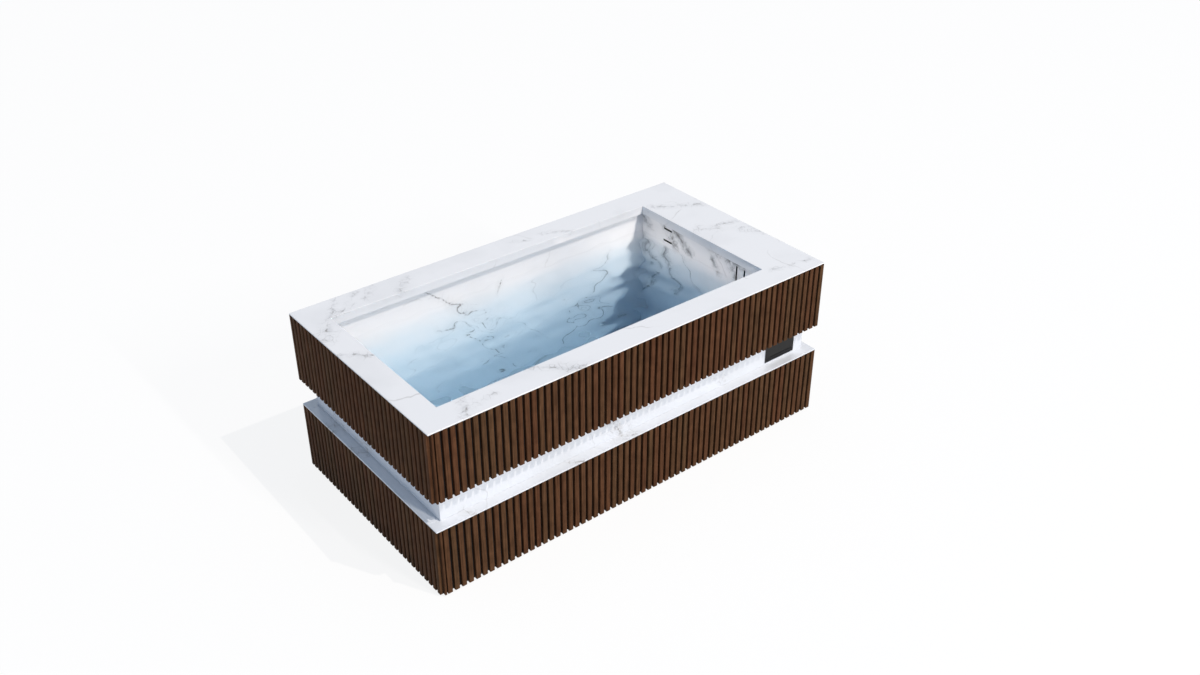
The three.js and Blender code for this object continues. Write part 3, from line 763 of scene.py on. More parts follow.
@dataclass(frozen=True)
class TouchGlass(Finish):
    """Dark printed glass over a display: near black, warm, with a clear shine and faint smears.

    Attributes:
        colour: Where a smear lies, and ink the print's colour between smears.
        smear: Size of a smear, and shine the roughness between smears and in them.
        gloss: Strength of the mirror; 0.5 is that of the index.
    """

    colour: str = "#0F0E0E"
    ink: str = "#0A0A0A"
    smear: float = 22 * MM
    shine: tuple[float, float] = (0.08, 0.2)
    gloss: float = 0.2
    index: float = 1.52

    def shade(self, add: Adder) -> NodeSocket:
        """A dark ground under a clear shine that smears vary.

        Args:
            add: Adds a node to the material.

        Returns:
            The shader's output.
        """
        place = add("ShaderNodeTexCoord", output="Object")
        smears = add("ShaderNodeTexNoise", {"Vector": place, "Scale": 1 / self.smear, "Detail": 3.0}, "Fac")
        low, high = self.shine
        shine = add("ShaderNodeMapRange", {"Value": smears, "To Min": low, "To Max": high}, "Result")
        colour = add(
            "ShaderNodeMix",
            {"Factor_Float": smears, "A_Color": linear(self.ink), "B_Color": linear(self.colour)},
            "Result_Color",
            data_type="RGBA",
        )
        surface = {"Base Color": colour, "Roughness": shine, "IOR": self.index}
        return add("ShaderNodeBsdfPrincipled", {**surface, "Specular IOR Level": self.gloss}, "BSDF")


# Veins listed one by one, where the stone shows them


def strokes(axis: int, level: float, rows: Sequence[Sequence[float]]) -> tuple[Vein, ...]:
    """Draws veins on a flat face.

    Args:
        axis: The axis across the face: 0, 1 or 2 for X, Y or Z.
        level: Where the face lies on that axis.
        rows: For each vein its start and its end on the face, in metres, and half its width, in millimetres.

    Returns:
        The veins.
    """
    veins = []
    for *places, width in rows:
        start, end = places[:2], places[2:]
        start.insert(axis, level)
        end.insert(axis, level)
        veins.append(Vein(tuple(start), tuple(end), width * MM))
    return tuple(veins)


SLAB_VEINS = strokes(2, 0.768, (
    (-0.985, 0.255, -0.905, 0.340, 4.0),
    (-0.905, 0.340, -0.806, 0.513, 2.0),
    (-0.890, 0.385, -0.760, 0.410, 1.6),
    (-0.820, 0.405, -0.700, 0.515, 1.4),
    (-0.690, 0.440, -0.629, 0.520, 2.2),
    (-0.993, 0.118, -0.890, 0.040, 2.2),
    (-0.560, 0.400, -0.470, 0.470, 2.0),
    (0.062, 0.475, 0.120, 0.440, 1.6),
    (0.208, 0.455, 0.330, 0.392, 2.0),
    (0.771, 0.349, 0.855, 0.302, 2.6),
    (0.855, 0.302, 0.975, 0.232, 1.8),
    (0.760, 0.036, 0.800, 0.044, 3.0),
    (0.800, 0.044, 0.867, -0.006, 2.4),
    (0.838, 0.023, 0.970, 0.012, 1.8),
    (0.945, -0.074, 0.991, -0.130, 3.2),
    (0.768, -0.426, 0.834, -0.457, 1.8),
    (0.834, -0.457, 0.990, -0.470, 1.6),
    (-0.770, -0.403, -0.835, -0.510, 2.8),
    (-0.835, -0.480, -0.676, -0.459, 1.8),
    (-0.478, -0.402, -0.374, -0.475, 2.0),
    (-0.374, -0.475, -0.315, -0.525, 3.2),
))
BACK_WALL_VEINS = strokes(1, 0.408, (
    (-0.485, 0.755, -0.335, 0.630, 2.4),
    (-0.335, 0.630, -0.110, 0.440, 2.4),
    (-0.110, 0.440, 0.120, 0.320, 2.4),
    (0.120, 0.320, 0.170, 0.270, 2.0),
    (-0.396, 0.514, 0.000, 0.353, 1.7),
    (-0.253, 0.440, -0.170, 0.330, 2.4),
    (-0.170, 0.330, -0.050, 0.280, 2.7),
    (-0.050, 0.280, -0.150, 0.250, 2.7),
    (-0.150, 0.250, -0.040, 0.190, 2.7),
    (0.030, 0.150, 0.110, 0.185, 2.3),
    (-0.060, 0.640, -0.080, 0.570, 1.9),
    (0.561, 0.561, 0.530, 0.465, 2.0),
    (0.530, 0.465, 0.390, 0.353, 2.3),
    (0.390, 0.353, 0.550, 0.307, 2.0),
    (0.300, 0.180, 0.330, 0.290, 2.4),
    (0.330, 0.270, 0.583, 0.250, 2.7),
))
FLOOR_VEINS = strokes(2, 0.1156, (
    (0.17, 0.408, -0.10, -0.06, 2.4),
    (-0.10, -0.06, -0.46, -0.41, 2.0),
    (-0.72, 0.30, -0.40, 0.05, 1.8),
    (0.30, -0.10, 0.62, 0.21, 2.2),
))
END_WALL_VEINS = strokes(0, 0.766, (
    (0.271, 0.751, 0.252, 0.713, 3.0),
    (0.200, 0.719, 0.143, 0.697, 3.6),
    (0.160, 0.700, 0.074, 0.638, 4.0),
    (0.205, 0.678, 0.167, 0.635, 4.0),
    (0.000, 0.745, -0.086, 0.731, 3.2),
    (-0.086, 0.731, -0.170, 0.728, 4.4),
    (-0.174, 0.717, -0.203, 0.683, 4.4),
    (-0.203, 0.683, -0.230, 0.640, 4.0),
    (-0.203, 0.700, -0.275, 0.714, 2.8),
    (-0.075, 0.680, -0.125, 0.608, 2.8),
    (0.413, 0.705, 0.384, 0.691, 3.6),
    (0.384, 0.691, 0.348, 0.673, 2.8),
    (0.400, 0.580, 0.280, 0.500, 4.0),
    (0.240, 0.570, 0.150, 0.400, 4.0),
    (0.400, 0.300, 0.300, 0.430, 4.0),
))
# On the front waist panel, then on the ledge; one runs from the panel's foot onto the ledge
WAIST_VEINS = (
    *strokes(1, -0.48, ((-0.17, 0.42, -0.10, 0.345, 5.0), (0.40, 0.40, 0.49, 0.36, 2.0))),
    Vein((-0.12, -0.48, 0.36), (-0.05, -0.51, 0.327), 4.0 * MM),
    *strokes(2, 0.327, (
        (-0.36, -0.50, -0.31, -0.525, 2.0),
        (-0.86, -0.49, -0.80, -0.53, 2.0),
        (-1.02, 0.335, -0.94, 0.245, 4.5),
        (-1.00, 0.265, -0.95, 0.320, 4.0),
        (-1.02, 0.130, -0.94, 0.045, 3.5),
    )),
)

SLAB_MARBLE = PolishedMarble("polished_white_marble_slab", SLAB_VEINS)
# Full, unbroken lines, so that the ripples have something to shake
BACK_MARBLE = PolishedMarble(
    "polished_white_marble_back_wall",
    BACK_WALL_VEINS,
    line_share=1.0,
    crackle_share=0.12,
    smoke_share=0.15,
    least=0.75,
    wander=16 * MM,
    jitter=12 * MM,
    halo=4.0,
)
BASIN_MARBLE = PolishedMarble("polished_white_marble_basin")
# Honed, not polished, so that wet feet don't slip, and so without the clear shine; its grey is painted shade
# that darkens the basin's bottom and the light it throws back onto the walls
PAINTED_SHADE_FLOOR = PolishedMarble(
    "honed_white_marble_floor",
    FLOOR_VEINS,
    ground="#C2C9CE",
    cloud="#B0B7BC",
    vein="#8A8886",
    shine=(0.4, 0.5),
)
# The end wall's sheet is busier stone: broad grey patches full of cracks. Its ground is painted lighter than
# the other sheets' to lighten this wall, which lies in shade
END_MARBLE = PolishedMarble(
    "polished_white_marble_end_wall",
    END_WALL_VEINS,
    ground="#F6F6F7",
    cloud="#ADB0B3",
    vein="#858280",
    crackle_share=0.7,
    smoke_share=0.6,
    wander=18 * MM,
    crackle_size=22 * MM,
    crackle_reach=12.0,
    halo=5.0,
)
WAIST_MARBLE = PolishedMarble("polished_white_marble_waist", WAIST_VEINS, ground="#E4E8EE")
WALNUT = OiledWalnut("oiled_walnut")
WATER = StillWater("clean_water")
WATER_SKIN = RippledSkin("rippled_water_surface")
GLASS = TouchGlass("back_printed_touch_glass")
# Board behind the slats, nearly black as painted shade, so that the gaps read as deep shadow
GAP_SHADE_BOARD = GrainedSurface("black_board_painted_gap_shade", "#1C1511", "#120D0A", 5 * MM, roughness=(0.75, 0.9))
# Thermoset powder on steel: fine orange peel, satin
POWDER_COAT = GrainedSurface(
    "powder_coated_steel", "#4C5054", "#44484B", 2.5 * MM, roughness=(0.42, 0.55), relief=0.08 * MM
)
# Hot-dip zinc: pale grey spangle of crystals about a centimetre across
GALVANISED = GrainedSurface(
    "hot_dip_galvanised_steel", "#B4B9BD", "#9DA3A8", 11 * MM, roughness=(0.32, 0.5), metallic=1.0
)
# Vulcanised rubber: matt black with a bloom
RUBBER = GrainedSurface("vulcanised_rubber", "#1F1F20", "#171718", 4 * MM, roughness=(0.8, 0.95), index=1.52)
# Rigid foam cut with a hot wire: pale yellow, open cells
RIGID_FOAM = GrainedSurface(
    "cut_rigid_foam", "#DDD5BE", "#CBC2A8", 2 * MM, roughness=(0.9, 1.0), relief=0.3 * MM
)
# Spark-eroded black moulding: fine even texture
BLACK_MOULDING = GrainedSurface(
    "moulded_black_abs", "#1A1B1D", "#131416", 1.5 * MM, roughness=(0.4, 0.55), relief=0.06 * MM, index=1.54
)
# Matt black moulding of water slots and sensor strip: hardly any shine, and blacker than the other black
# mouldings as painted shade, so that the slots read as dark openings
SLOT_SHADE_AND_SENSOR_MOULDING = GrainedSurface(
    "moulded_black_polypropylene", "#0C0C0D", "#080809", 2 * MM, roughness=(0.7, 0.85), index=1.49, gloss=0.1
)
# Grey glass-filled moulding of pumps and canisters: faint flow marks
GREY_MOULDING = GrainedSurface(
    "moulded_grey_polypropylene",
    "#8D9398",
    "#7F858A",
    6 * MM,
    roughness=(0.42, 0.58),
    relief=0.06 * MM,
    index=1.49,
)
# Pleated polyester cloth: pale blue fibres along the pleat
FILTER_CLOTH = GrainedSurface(
    "pleated_polyester_cloth",
    "#CBD8E0",
    "#AFC0CB",
    2.5 * MM,
    (1, 1, 0.05),
    roughness=(0.85, 0.95),
    relief=0.4 * MM,
)
# Extruded white pipe: faint flow marks, a soft gloss
EXTRUDED_PIPE = GrainedSurface(
    "extruded_white_pvc", "#E1E4E6", "#D6DADD", 8 * MM, roughness=(0.28, 0.4), relief=0.03 * MM, index=1.53
)
# Rolled aluminium fin stock: fine lines, bright
ROLLED_ALUMINIUM = GrainedSurface(
    "rolled_aluminium_fins", "#BFC4C7", "#A9AFB3", 4 * MM, (1, 1, 0.1), roughness=(0.3, 0.45), metallic=1.0
)
# Brushed stainless sheet: hairlines along its length
BRUSHED_STAINLESS = GrainedSurface(
    "brushed_stainless_steel",
    "#C4C6C8",
    "#AFB2B5",
    2.5 * MM,
    (0.06, 1, 1),
    roughness=(0.24, 0.4),
    metallic=1.0,
)
# Cast and machined brass: fine sand texture, a warm dull shine
CAST_BRASS = GrainedSurface(
    "cast_brass", "#B58F46", "#A07B38", 3 * MM, roughness=(0.3, 0.48), relief=0.08 * MM, metallic=1.0
)
# Lever dipped in red vinyl: thick, soft gloss
DIPPED_VINYL = GrainedSurface(
    "dipped_red_vinyl", "#A82A24", "#96221D", 5 * MM, roughness=(0.35, 0.48), index=1.53
)


# Meshes


def new_piece(name: str, mesh: Mesh) -> Object:
    """Links a new object that holds a mesh, at the origin.

    Args:
        name: The piece's name.
        mesh: Its mesh.

    Returns:
        The new object.
    """
    piece = bpy.data.objects.new(name, mesh)
    bpy.context.scene.collection.objects.link(piece)
    return piece


def settle(piece: Object) -> Object:
    """Turns a piece's modifiers into its plain mesh.

    Args:
        piece: The object with live modifiers.

    Returns:
        The same object, with the result as its mesh and no modifiers.
    """
    graph = bpy.context.evaluated_depsgraph_get()
    graph.update()
    made = bpy.data.meshes.new_from_object(piece.evaluated_get(graph))
    made.name = piece.name
    piece.modifiers.clear()
    spent = piece.data
    piece.data = made
    bpy.data.meshes.remove(spent)
    return piece


def soften(piece: Object, width: float) -> Object:
    """Rounds a piece's sharp edges and keeps its flats flat.

    Args:
        piece: A closed mesh.
        width: Width of the rounding, in metres.

    Returns:
        The same object.
    """
    mesh = piece.data
    mesh.polygons.foreach_set("use_smooth", [True] * len(mesh.polygons))
    bevel = piece.modifiers.new("edges", "BEVEL")
    bevel.width = width
    bevel.segments = EDGE_FACES
    bevel.limit_method = "ANGLE"
    bevel.angle_limit = EDGE_ANGLE
    bevel.harden_normals = True
    return settle(piece)


def finished(name: str, form: BMesh) -> Object:
    """Makes a piece of a filled bmesh, and frees the bmesh.

    Args:
        name: The piece's name.
        form: The filled bmesh.

    Returns:
        The new object.
    """
    mesh = bpy.data.meshes.new(name)
    form.to_mesh(mesh)
    form.free()
    return new_piece(name, mesh)


def copy_of_solid(node: str, name: str) -> Object:
    """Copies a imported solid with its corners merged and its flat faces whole.

    Args:
        node: The solid's name.
        name: The new piece's name.

    Returns:
        The new object.
    """
    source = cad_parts[node].data
    form = bmesh.new()
    corners = [form.verts.new(vertex.co) for vertex in source.vertices]
    for face in source.polygons:
        form.faces.new([corners[i] for i in face.vertices])
    bmesh.ops.remove_doubles(form, verts=form.verts, dist=MERGE_DISTANCE)
    bmesh.ops.dissolve_limit(form, angle_limit=FLAT_ANGLE, verts=form.verts, edges=form.edges)
    return finished(name, form)


def add_box(form: BMesh, low: Sequence[float], high: Sequence[float]) -> None:
    """Adds a closed box to a mesh in the making.

    Args:
        form: The mesh.
        low: Lowest corner.
        high: Highest corner.
    """
    size = Vector(high) - Vector(low)
    place = Matrix.Translation((Vector(high) + Vector(low)) / 2) @ Matrix.Diagonal((*size, 1))
    bmesh.ops.create_cube(form, size=1, matrix=place)


def mesh_from(name: str, build: Callable[[BMesh], None]) -> Object:
    """Makes a piece from a function that fills a bmesh.

    Args:
        name: The piece's name.
        build: Fills the mesh.

    Returns:
        The new object.
    """
    form = bmesh.new()
    build(form)
    bmesh.ops.recalc_face_normals(form, faces=form.faces)
    return finished(name, form)


def dress(
    piece: Object, finish: Finish, body: Body, replaced: Sequence[str] = ()
) -> None:
    """Gives a finished piece its material, its body and what it stands for, and reports it.

    Args:
        piece: The piece, with its place in its mesh.
        finish: Its finish.
        body: The body it rides on.
        replaced: The solids it stands for.
    """
    if not piece.data.materials:
        piece.data.materials.append(finish.material())
    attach(piece, body.value)
    if replaced:
        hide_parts(*replaced)
    LOG.info("%s: %s, %d faces, on %s", piece.name, finish.name, len(piece.data.polygons), body.value)


def cover(node: str, kind: str, edge: float, finish: Finish, body: Body, slot: Slot) -> None:
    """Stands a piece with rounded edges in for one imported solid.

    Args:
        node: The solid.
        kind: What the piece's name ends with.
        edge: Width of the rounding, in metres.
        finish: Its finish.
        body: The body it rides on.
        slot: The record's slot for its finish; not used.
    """
    piece = soften(copy_of_solid(node, f"{node}_{kind}"), edge)
    dress(piece, finish, body, [node])


# Slatted panels


class SlatRow:
    """A row of equal slats, made by Geometry Nodes."""

    NAME = "slat_row"
    TONE = "slat_tone"
    CORNER_FACES = 3
    INPUTS = {
        "Count": "Int",
        "First": "Vector",
        "Step": "Vector",
        "Width": "Float",
        "Depth": "Float",
        "Rise": "Vector",
        "Rounding": "Float",
        "Seed": "Int",
        "Material": "Material",
    }

    def __init__(self) -> None:
        """Builds the tree and keeps its inputs' identifiers."""
        self.tree = bpy.data.node_groups.new(self.NAME, "GeometryNodeTree")
        self.keys: dict[str, str] = {}
        self._build()

    def _build(self) -> None:
        """A rounded section is drawn up to the slat's height, set along a line and given its own tone."""
        tree = self.tree
        for name, kind in self.INPUTS.items():
            socket = tree.interface.new_socket(name=name, in_out="INPUT", socket_type=f"NodeSocket{kind}")
            self.keys[name] = socket.identifier
        tree.interface.new_socket(name="Geometry", in_out="OUTPUT", socket_type="NodeSocketGeometry")
        add = partial(add_node, tree)
        given = add("NodeGroupInput").outputs
        points = add(
            "GeometryNodeMeshLine",
            {"Count": given["Count"], "Start Location": given["First"], "Offset": given["Step"]},
            "Mesh",
        )
        outline = add(
            "GeometryNodeCurvePrimitiveQuadrilateral",
            {"Width": given["Width"], "Height": given["Depth"]},
            "Curve",
        )
        section = add(
            "GeometryNodeFilletCurve",
            {"Curve": outline, "Radius": given["Rounding"], "Count": self.CORNER_FACES},
            "Curve",
            mode="POLY",
        )
        line = add("GeometryNodeCurvePrimitiveLine", {"End": given["Rise"]}, "Curve")
        slat = add(
            "GeometryNodeCurveToMesh", {"Curve": line, "Profile Curve": section, "Fill Caps": True}, "Mesh"
        )
        slats = add("GeometryNodeInstanceOnPoints", {"Points": points, "Instance": slat}, "Instances")
        tone = add(
            "FunctionNodeRandomValue",
            {"Min_001": 0.0, "Max_001": 1.0, "Seed": given["Seed"]},
            "Value_001",
            data_type="FLOAT",
        )
        toned = add(
            "GeometryNodeStoreNamedAttribute",
            {"Geometry": slats, "Name": self.TONE, "Value": tone},
            "Geometry",
            domain="INSTANCE",
            data_type="FLOAT",
        )
        real = add("GeometryNodeRealizeInstances", {"Geometry": toned}, "Geometry")
        dressed = add(
            "GeometryNodeSetMaterial", {"Geometry": real, "Material": given["Material"]}, "Geometry"
        )
        add("NodeGroupOutput", {"Geometry": dressed})

    def grow(self, name: str, place: Matrix, values: dict[str, Any]) -> Object:
        """Makes one row.

        Args:
            name: The piece's name.
            place: Carries the row to its side of the tub.
            values: The tree's inputs by name.

        Returns:
            The row as a plain mesh, in place.
        """
        piece = new_piece(name, bpy.data.meshes.new(name))
        modifier = piece.modifiers.new(self.NAME, "NODES")
        modifier.node_group = self.tree
        for key, value in values.items():
            modifier[self.keys[key]] = value
        settle(piece)
        piece.data.transform(place)
        piece.data.set_sharp_from_angle(angle=EDGE_ANGLE)
        return piece


@dataclass
class SlatPanel:
    """Walnut slats on a near-black backing board, whose black is painted gap shade, with battens behind the
    upper ones.

    Attributes:
        side: The side it covers.
        band: The upper or lower band.
        row: The tree that makes slats.
        seed: Seed of the slats' tones.
        rounding: Radius of a slat's corners.
        strip_width: Width of the narrow strip at the left corner of a long side.
        strip_gap: Gap between that strip and the slats.
        clearance: Room that pieces leave to each other.
        glue_lap: How far the board reaches into the slats.
        batten_margin: From the board's lower and upper edges to the battens.
        waist_recess: From the slats' face back to the waist.
        air_opening: Width and height of the hole in front of the fan.
    """

    side: Side
    band: Band
    row: SlatRow
    seed: int
    slat_width: float = 20 * MM
    slat_gap: float = 12 * MM
    slat_depth: float = 14 * MM
    rounding: float = 1.0 * MM
    board_depth: float = 9 * MM
    strip_width: float = 8 * MM
    strip_gap: float = 5 * MM
    clearance: float = 0.3 * MM
    glue_lap: float = 0.5 * MM
    batten_height: float = 50 * MM
    batten_margin: float = 12 * MM
    waist_recess: float = 45 * MM
    air_opening: float = 170 * MM

    @property
    def node(self) -> str:
        """The solid that the panel stands for."""
        return f"{self.band.value}_slats_{self.side.label}"

    @property
    def body(self) -> Body:
        """The lower right panel pulls off; the others stay."""
        pulls_off = self.side is Side.RIGHT and self.band is Band.LOWER
        return Body.SERVICE_PANEL if pulls_off else Body.TUB

    @property
    def along(self) -> float:
        """Half the length of this side."""
        return CAD_BOX[1].x if self.side.is_long else CAD_BOX[1].y

    @property
    def heights(self) -> tuple[float, float]:
        """Bottom and top of the panel."""
        low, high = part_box(self.node)
        return low.z, high.z

    def build(self) -> None:
        """Makes and dresses the slats, the corner strip and the board."""
        pitch = self.slat_width + self.slat_gap
        corner = self.slat_depth + self.clearance
        end = self.along if self.side.is_long else self.along - corner
        reserve = self.strip_width + self.strip_gap if self.side.is_long else 0.0
        count = int((end + self.along - corner - reserve + self.slat_gap) / pitch)
        first = end - self.slat_width / 2 - (count - 1) * pitch
        self._slats(f"{self.node}_row", first, count, self.slat_width)
        if self.side.is_long:
            strip = corner - self.along + self.strip_width / 2
            self._slats(f"{self.node}_corner_strip", strip, 1, self.strip_width)
        board = mesh_from(f"{self.node}_board", self._board)
        board.data.transform(self.side.matrix())
        soften(board, BOARD_EDGE)
        dress(board, GAP_SHADE_BOARD, self.body, [self.node])

    def _slats(self, name: str, first: float, count: int, width: float) -> None:
        """Makes one row of slats.

        Args:
            name: The piece's name.
            first: Middle of the first slat, along the side.
            count: How many slats.
            width: Width of a slat.
        """
        bottom, top = self.heights
        values = {
            "Count": count,
            "First": (first, self.slat_depth / 2, bottom),
            "Step": (self.slat_width + self.slat_gap, 0.0, 0.0),
            "Width": width,
            "Depth": self.slat_depth,
            "Rise": (0.0, 0.0, top - bottom),
            "Rounding": self.rounding,
            "Seed": self.seed,
            "Material": WALNUT.material(),
        }
        row = self.row.grow(name, self.side.matrix(), values)
        dress(row, WALNUT, self.body, [self.node])

    def _board(self, form: BMesh) -> None:
        """The backing board, cut away in front of the fan, and the battens that hang an upper panel.

        Args:
            form: The mesh.
        """
        bottom, top = self.heights
        back = self.slat_depth + self.board_depth
        face = self.slat_depth - self.glue_lap
        end = self.along - self.clearance - (self.slat_depth if self.side.is_long else back)
        if self.body is Body.SERVICE_PANEL:
            low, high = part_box("fan_shroud")
            middle = (low + high) / 2
            half = self.air_opening / 2
            hole = (middle.y - half, middle.y + half, middle.z - half, middle.z + half)
            self._pierced(form, (-end, end, bottom, top), hole, (face, back))
        else:
            add_box(form, (-end, face, bottom), (end, back, top))
        if self.band is Band.UPPER:
            reach = self.along - self.clearance - (back if self.side.is_long else self.waist_recess)
            rest = self.waist_recess - self.clearance
            for low in (bottom + self.batten_margin, top - self.batten_margin - self.batten_height):
                add_box(form, (-reach, back, low), (reach, rest, low + self.batten_height))

    def _pierced(
        self, form: BMesh, outer: Sequence[float], hole: Sequence[float], depth: tuple[float, float]
    ) -> None:
        """Adds a flat board with a rectangular hole.

        Args:
            form: The mesh.
            outer: Left, right, bottom and top of the board.
            hole: Left, right, bottom and top of the hole.
            depth: Front and back of the board.
        """

        def ring(edges: Sequence[float], v: float) -> list[BMVert]:
            """The four corners of a rectangle at one depth.

            Args:
                edges: Left, right, bottom and top.
                v: The depth.

            Returns:
                The new corners.
            """
            left, right, low, high = edges
            corners = ((left, low), (right, low), (right, high), (left, high))
            return [form.verts.new((u, v, z)) for u, z in corners]

        rings = [ring(outer, depth[0]), ring(outer, depth[1]), ring(hole, depth[1]), ring(hole, depth[0])]
        for here, there in zip(rings, rings[1:] + rings[:1]):
            for i, j in ((0, 1), (1, 2), (2, 3), (3, 0)):
                form.faces.new((here[i], here[j], there[j], there[i]))


# Stone and water


@dataclass
class StoneWork:
    """Marble slab, ledges, waist panels and basin, each cut from sheet and polished.

    Attributes:
        edge: Width of the sheets' rounded edges.
    """

    edge: float = STONE_EDGE

    def build(self) -> None:
        """Makes and dresses each sheet."""
        sheets = {"top_slab": SLAB_MARBLE, "basin_floor": PAINTED_SHADE_FLOOR}
        for side in Side:
            wall = {Side.RIGHT: END_MARBLE, Side.BACK: BACK_MARBLE}.get(side, BASIN_MARBLE)
            sheets[f"basin_wall_{side.label}"] = wall
            sheets[f"ledge_{side.label}"] = WAIST_MARBLE
            sheets[f"waist_panel_{side.label}"] = WAIST_MARBLE
        for node, marble in sheets.items():
            cover(node, "stone", self.edge, marble, Body.TUB, Slot.MARBLE)


@dataclass(frozen=True)
class Wave:
    """One train of ripples.

    Attributes:
        length: From crest to crest.
        height: From the still level to a crest.
        heading: Where it runs, in degrees from +X. It also sets the phase, so that the trains don't line up.
    """

    length: float
    height: float
    heading: float

    def rise(self, x: float, y: float) -> float:
        """Height above the still level at a place.

        Args:
            x: The place along X.
            y: The place along Y.

        Returns:
            The height, in metres.
        """
        turn = math.radians(self.heading)
        along = x * math.cos(turn) + y * math.sin(turn)
        return self.height * math.sin(math.tau * along / self.length + self.heading)


@dataclass
class WaterFill:
    """The water in the basin: a rippled skin over a still body.

    The skin is flat below, so that it shakes the view without bending it as a whole.

    Attributes:
        level: Height of the still surface.
        skin_depth: From that level down to the skin's flat underside.
        skin_gap: From the skin down to the still body.
        lap: How far the water laps into the stone, so that no film of air shows.
        cell: Size of the surface's faces.
        calm: Distance from the back wall at which ripples are half as high as on it.
        waves: The trains of ripples, with their heights at the back wall.
        upward: Least rise of a face's normal, where 1 is straight up, for it to be shaded smooth.
    """

    level: float = 632 * MM
    skin_depth: float = 24 * MM
    skin_gap: float = 0.2 * MM
    lap: float = 0.4 * MM
    cell: float = 5 * MM
    calm: float = 250 * MM
    waves: tuple[Wave, ...] = (
        Wave(62 * MM, 0.5 * MM, 96),
        Wave(78 * MM, 0.7 * MM, 6),
        Wave(96 * MM, 1.8 * MM, 88),
        Wave(118 * MM, 2.6 * MM, 14),
        Wave(150 * MM, 3.8 * MM, 104),
        Wave(190 * MM, 5.2 * MM, -2),
    )
    upward: float = 0.5

    def build(self) -> None:
        """Makes and dresses the skin and the body below it."""
        skin = mesh_from("water_surface", self._skin)
        for face in skin.data.polygons:
            face.use_smooth = face.normal.z > self.upward
        dress(skin, WATER_SKIN, Body.TUB)
        dress(mesh_from("water_fill", self._body), WATER, Body.TUB)

    @property
    def edges(self) -> tuple[float, float, float, float]:
        """Left, right, front and back of the water.

        Returns:
            The four places, in metres.
        """
        left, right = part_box("basin_wall_left")[1].x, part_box("basin_wall_right")[0].x
        front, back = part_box("basin_wall_front")[1].y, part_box("basin_wall_back")[0].y
        return left - self.lap, right + self.lap, front - self.lap, back + self.lap

    def ripple(self, x: float, y: float, back: float) -> float:
        """Height of all the ripples above the still level at a place, in front of a wall at back."""
        return sum(wave.rise(x, y) for wave in self.waves) * self.calm / (self.calm + back - y)

    def _body(self, form: BMesh) -> None:
        """The still water below the skin.

        Args:
            form: The mesh.
        """
        left, right, front, back = self.edges
        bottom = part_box("basin_floor")[1].z - self.lap
        top = self.level - self.skin_depth - self.skin_gap
        add_box(form, (left, front, bottom), (right, back, top))

    def _skin(self, form: BMesh) -> None:
        """A closed sheet: rippled top, flat sides and a flat underside.

        Args:
            form: The mesh.
        """
        left, right, front, back = self.edges
        xs, ys = self._stations(left, right), self._stations(front, back)
        bottom = self.level - self.skin_depth
        top = [[form.verts.new((x, y, self.level + self.ripple(x, y, back))) for y in ys] for x in xs]
        for here, there in zip(top, top[1:]):
            for j in range(len(ys) - 1):
                form.faces.new((here[j], there[j], there[j + 1], here[j + 1]))
        base = {(i, j): form.verts.new((xs[i], ys[j], bottom)) for i in (0, -1) for j in (0, -1)}
        form.faces.new((base[0, 0], base[0, -1], base[-1, -1], base[-1, 0]))
        form.faces.new([base[0, 0], base[-1, 0], *(row[0] for row in reversed(top))])
        form.faces.new([base[0, -1], *(row[-1] for row in top), base[-1, -1]])
        form.faces.new([base[0, -1], base[0, 0], *top[0]])
        form.faces.new([base[-1, 0], base[-1, -1], *reversed(top[-1])])

    def _stations(self, start: float, end: float) -> list[float]:
        """Evenly spaced places from start to end, about one cell apart."""
        steps = round((end - start) / self.cell)
        return [start + (end - start) * i / steps for i in range(steps + 1)]


# Frame and machinery


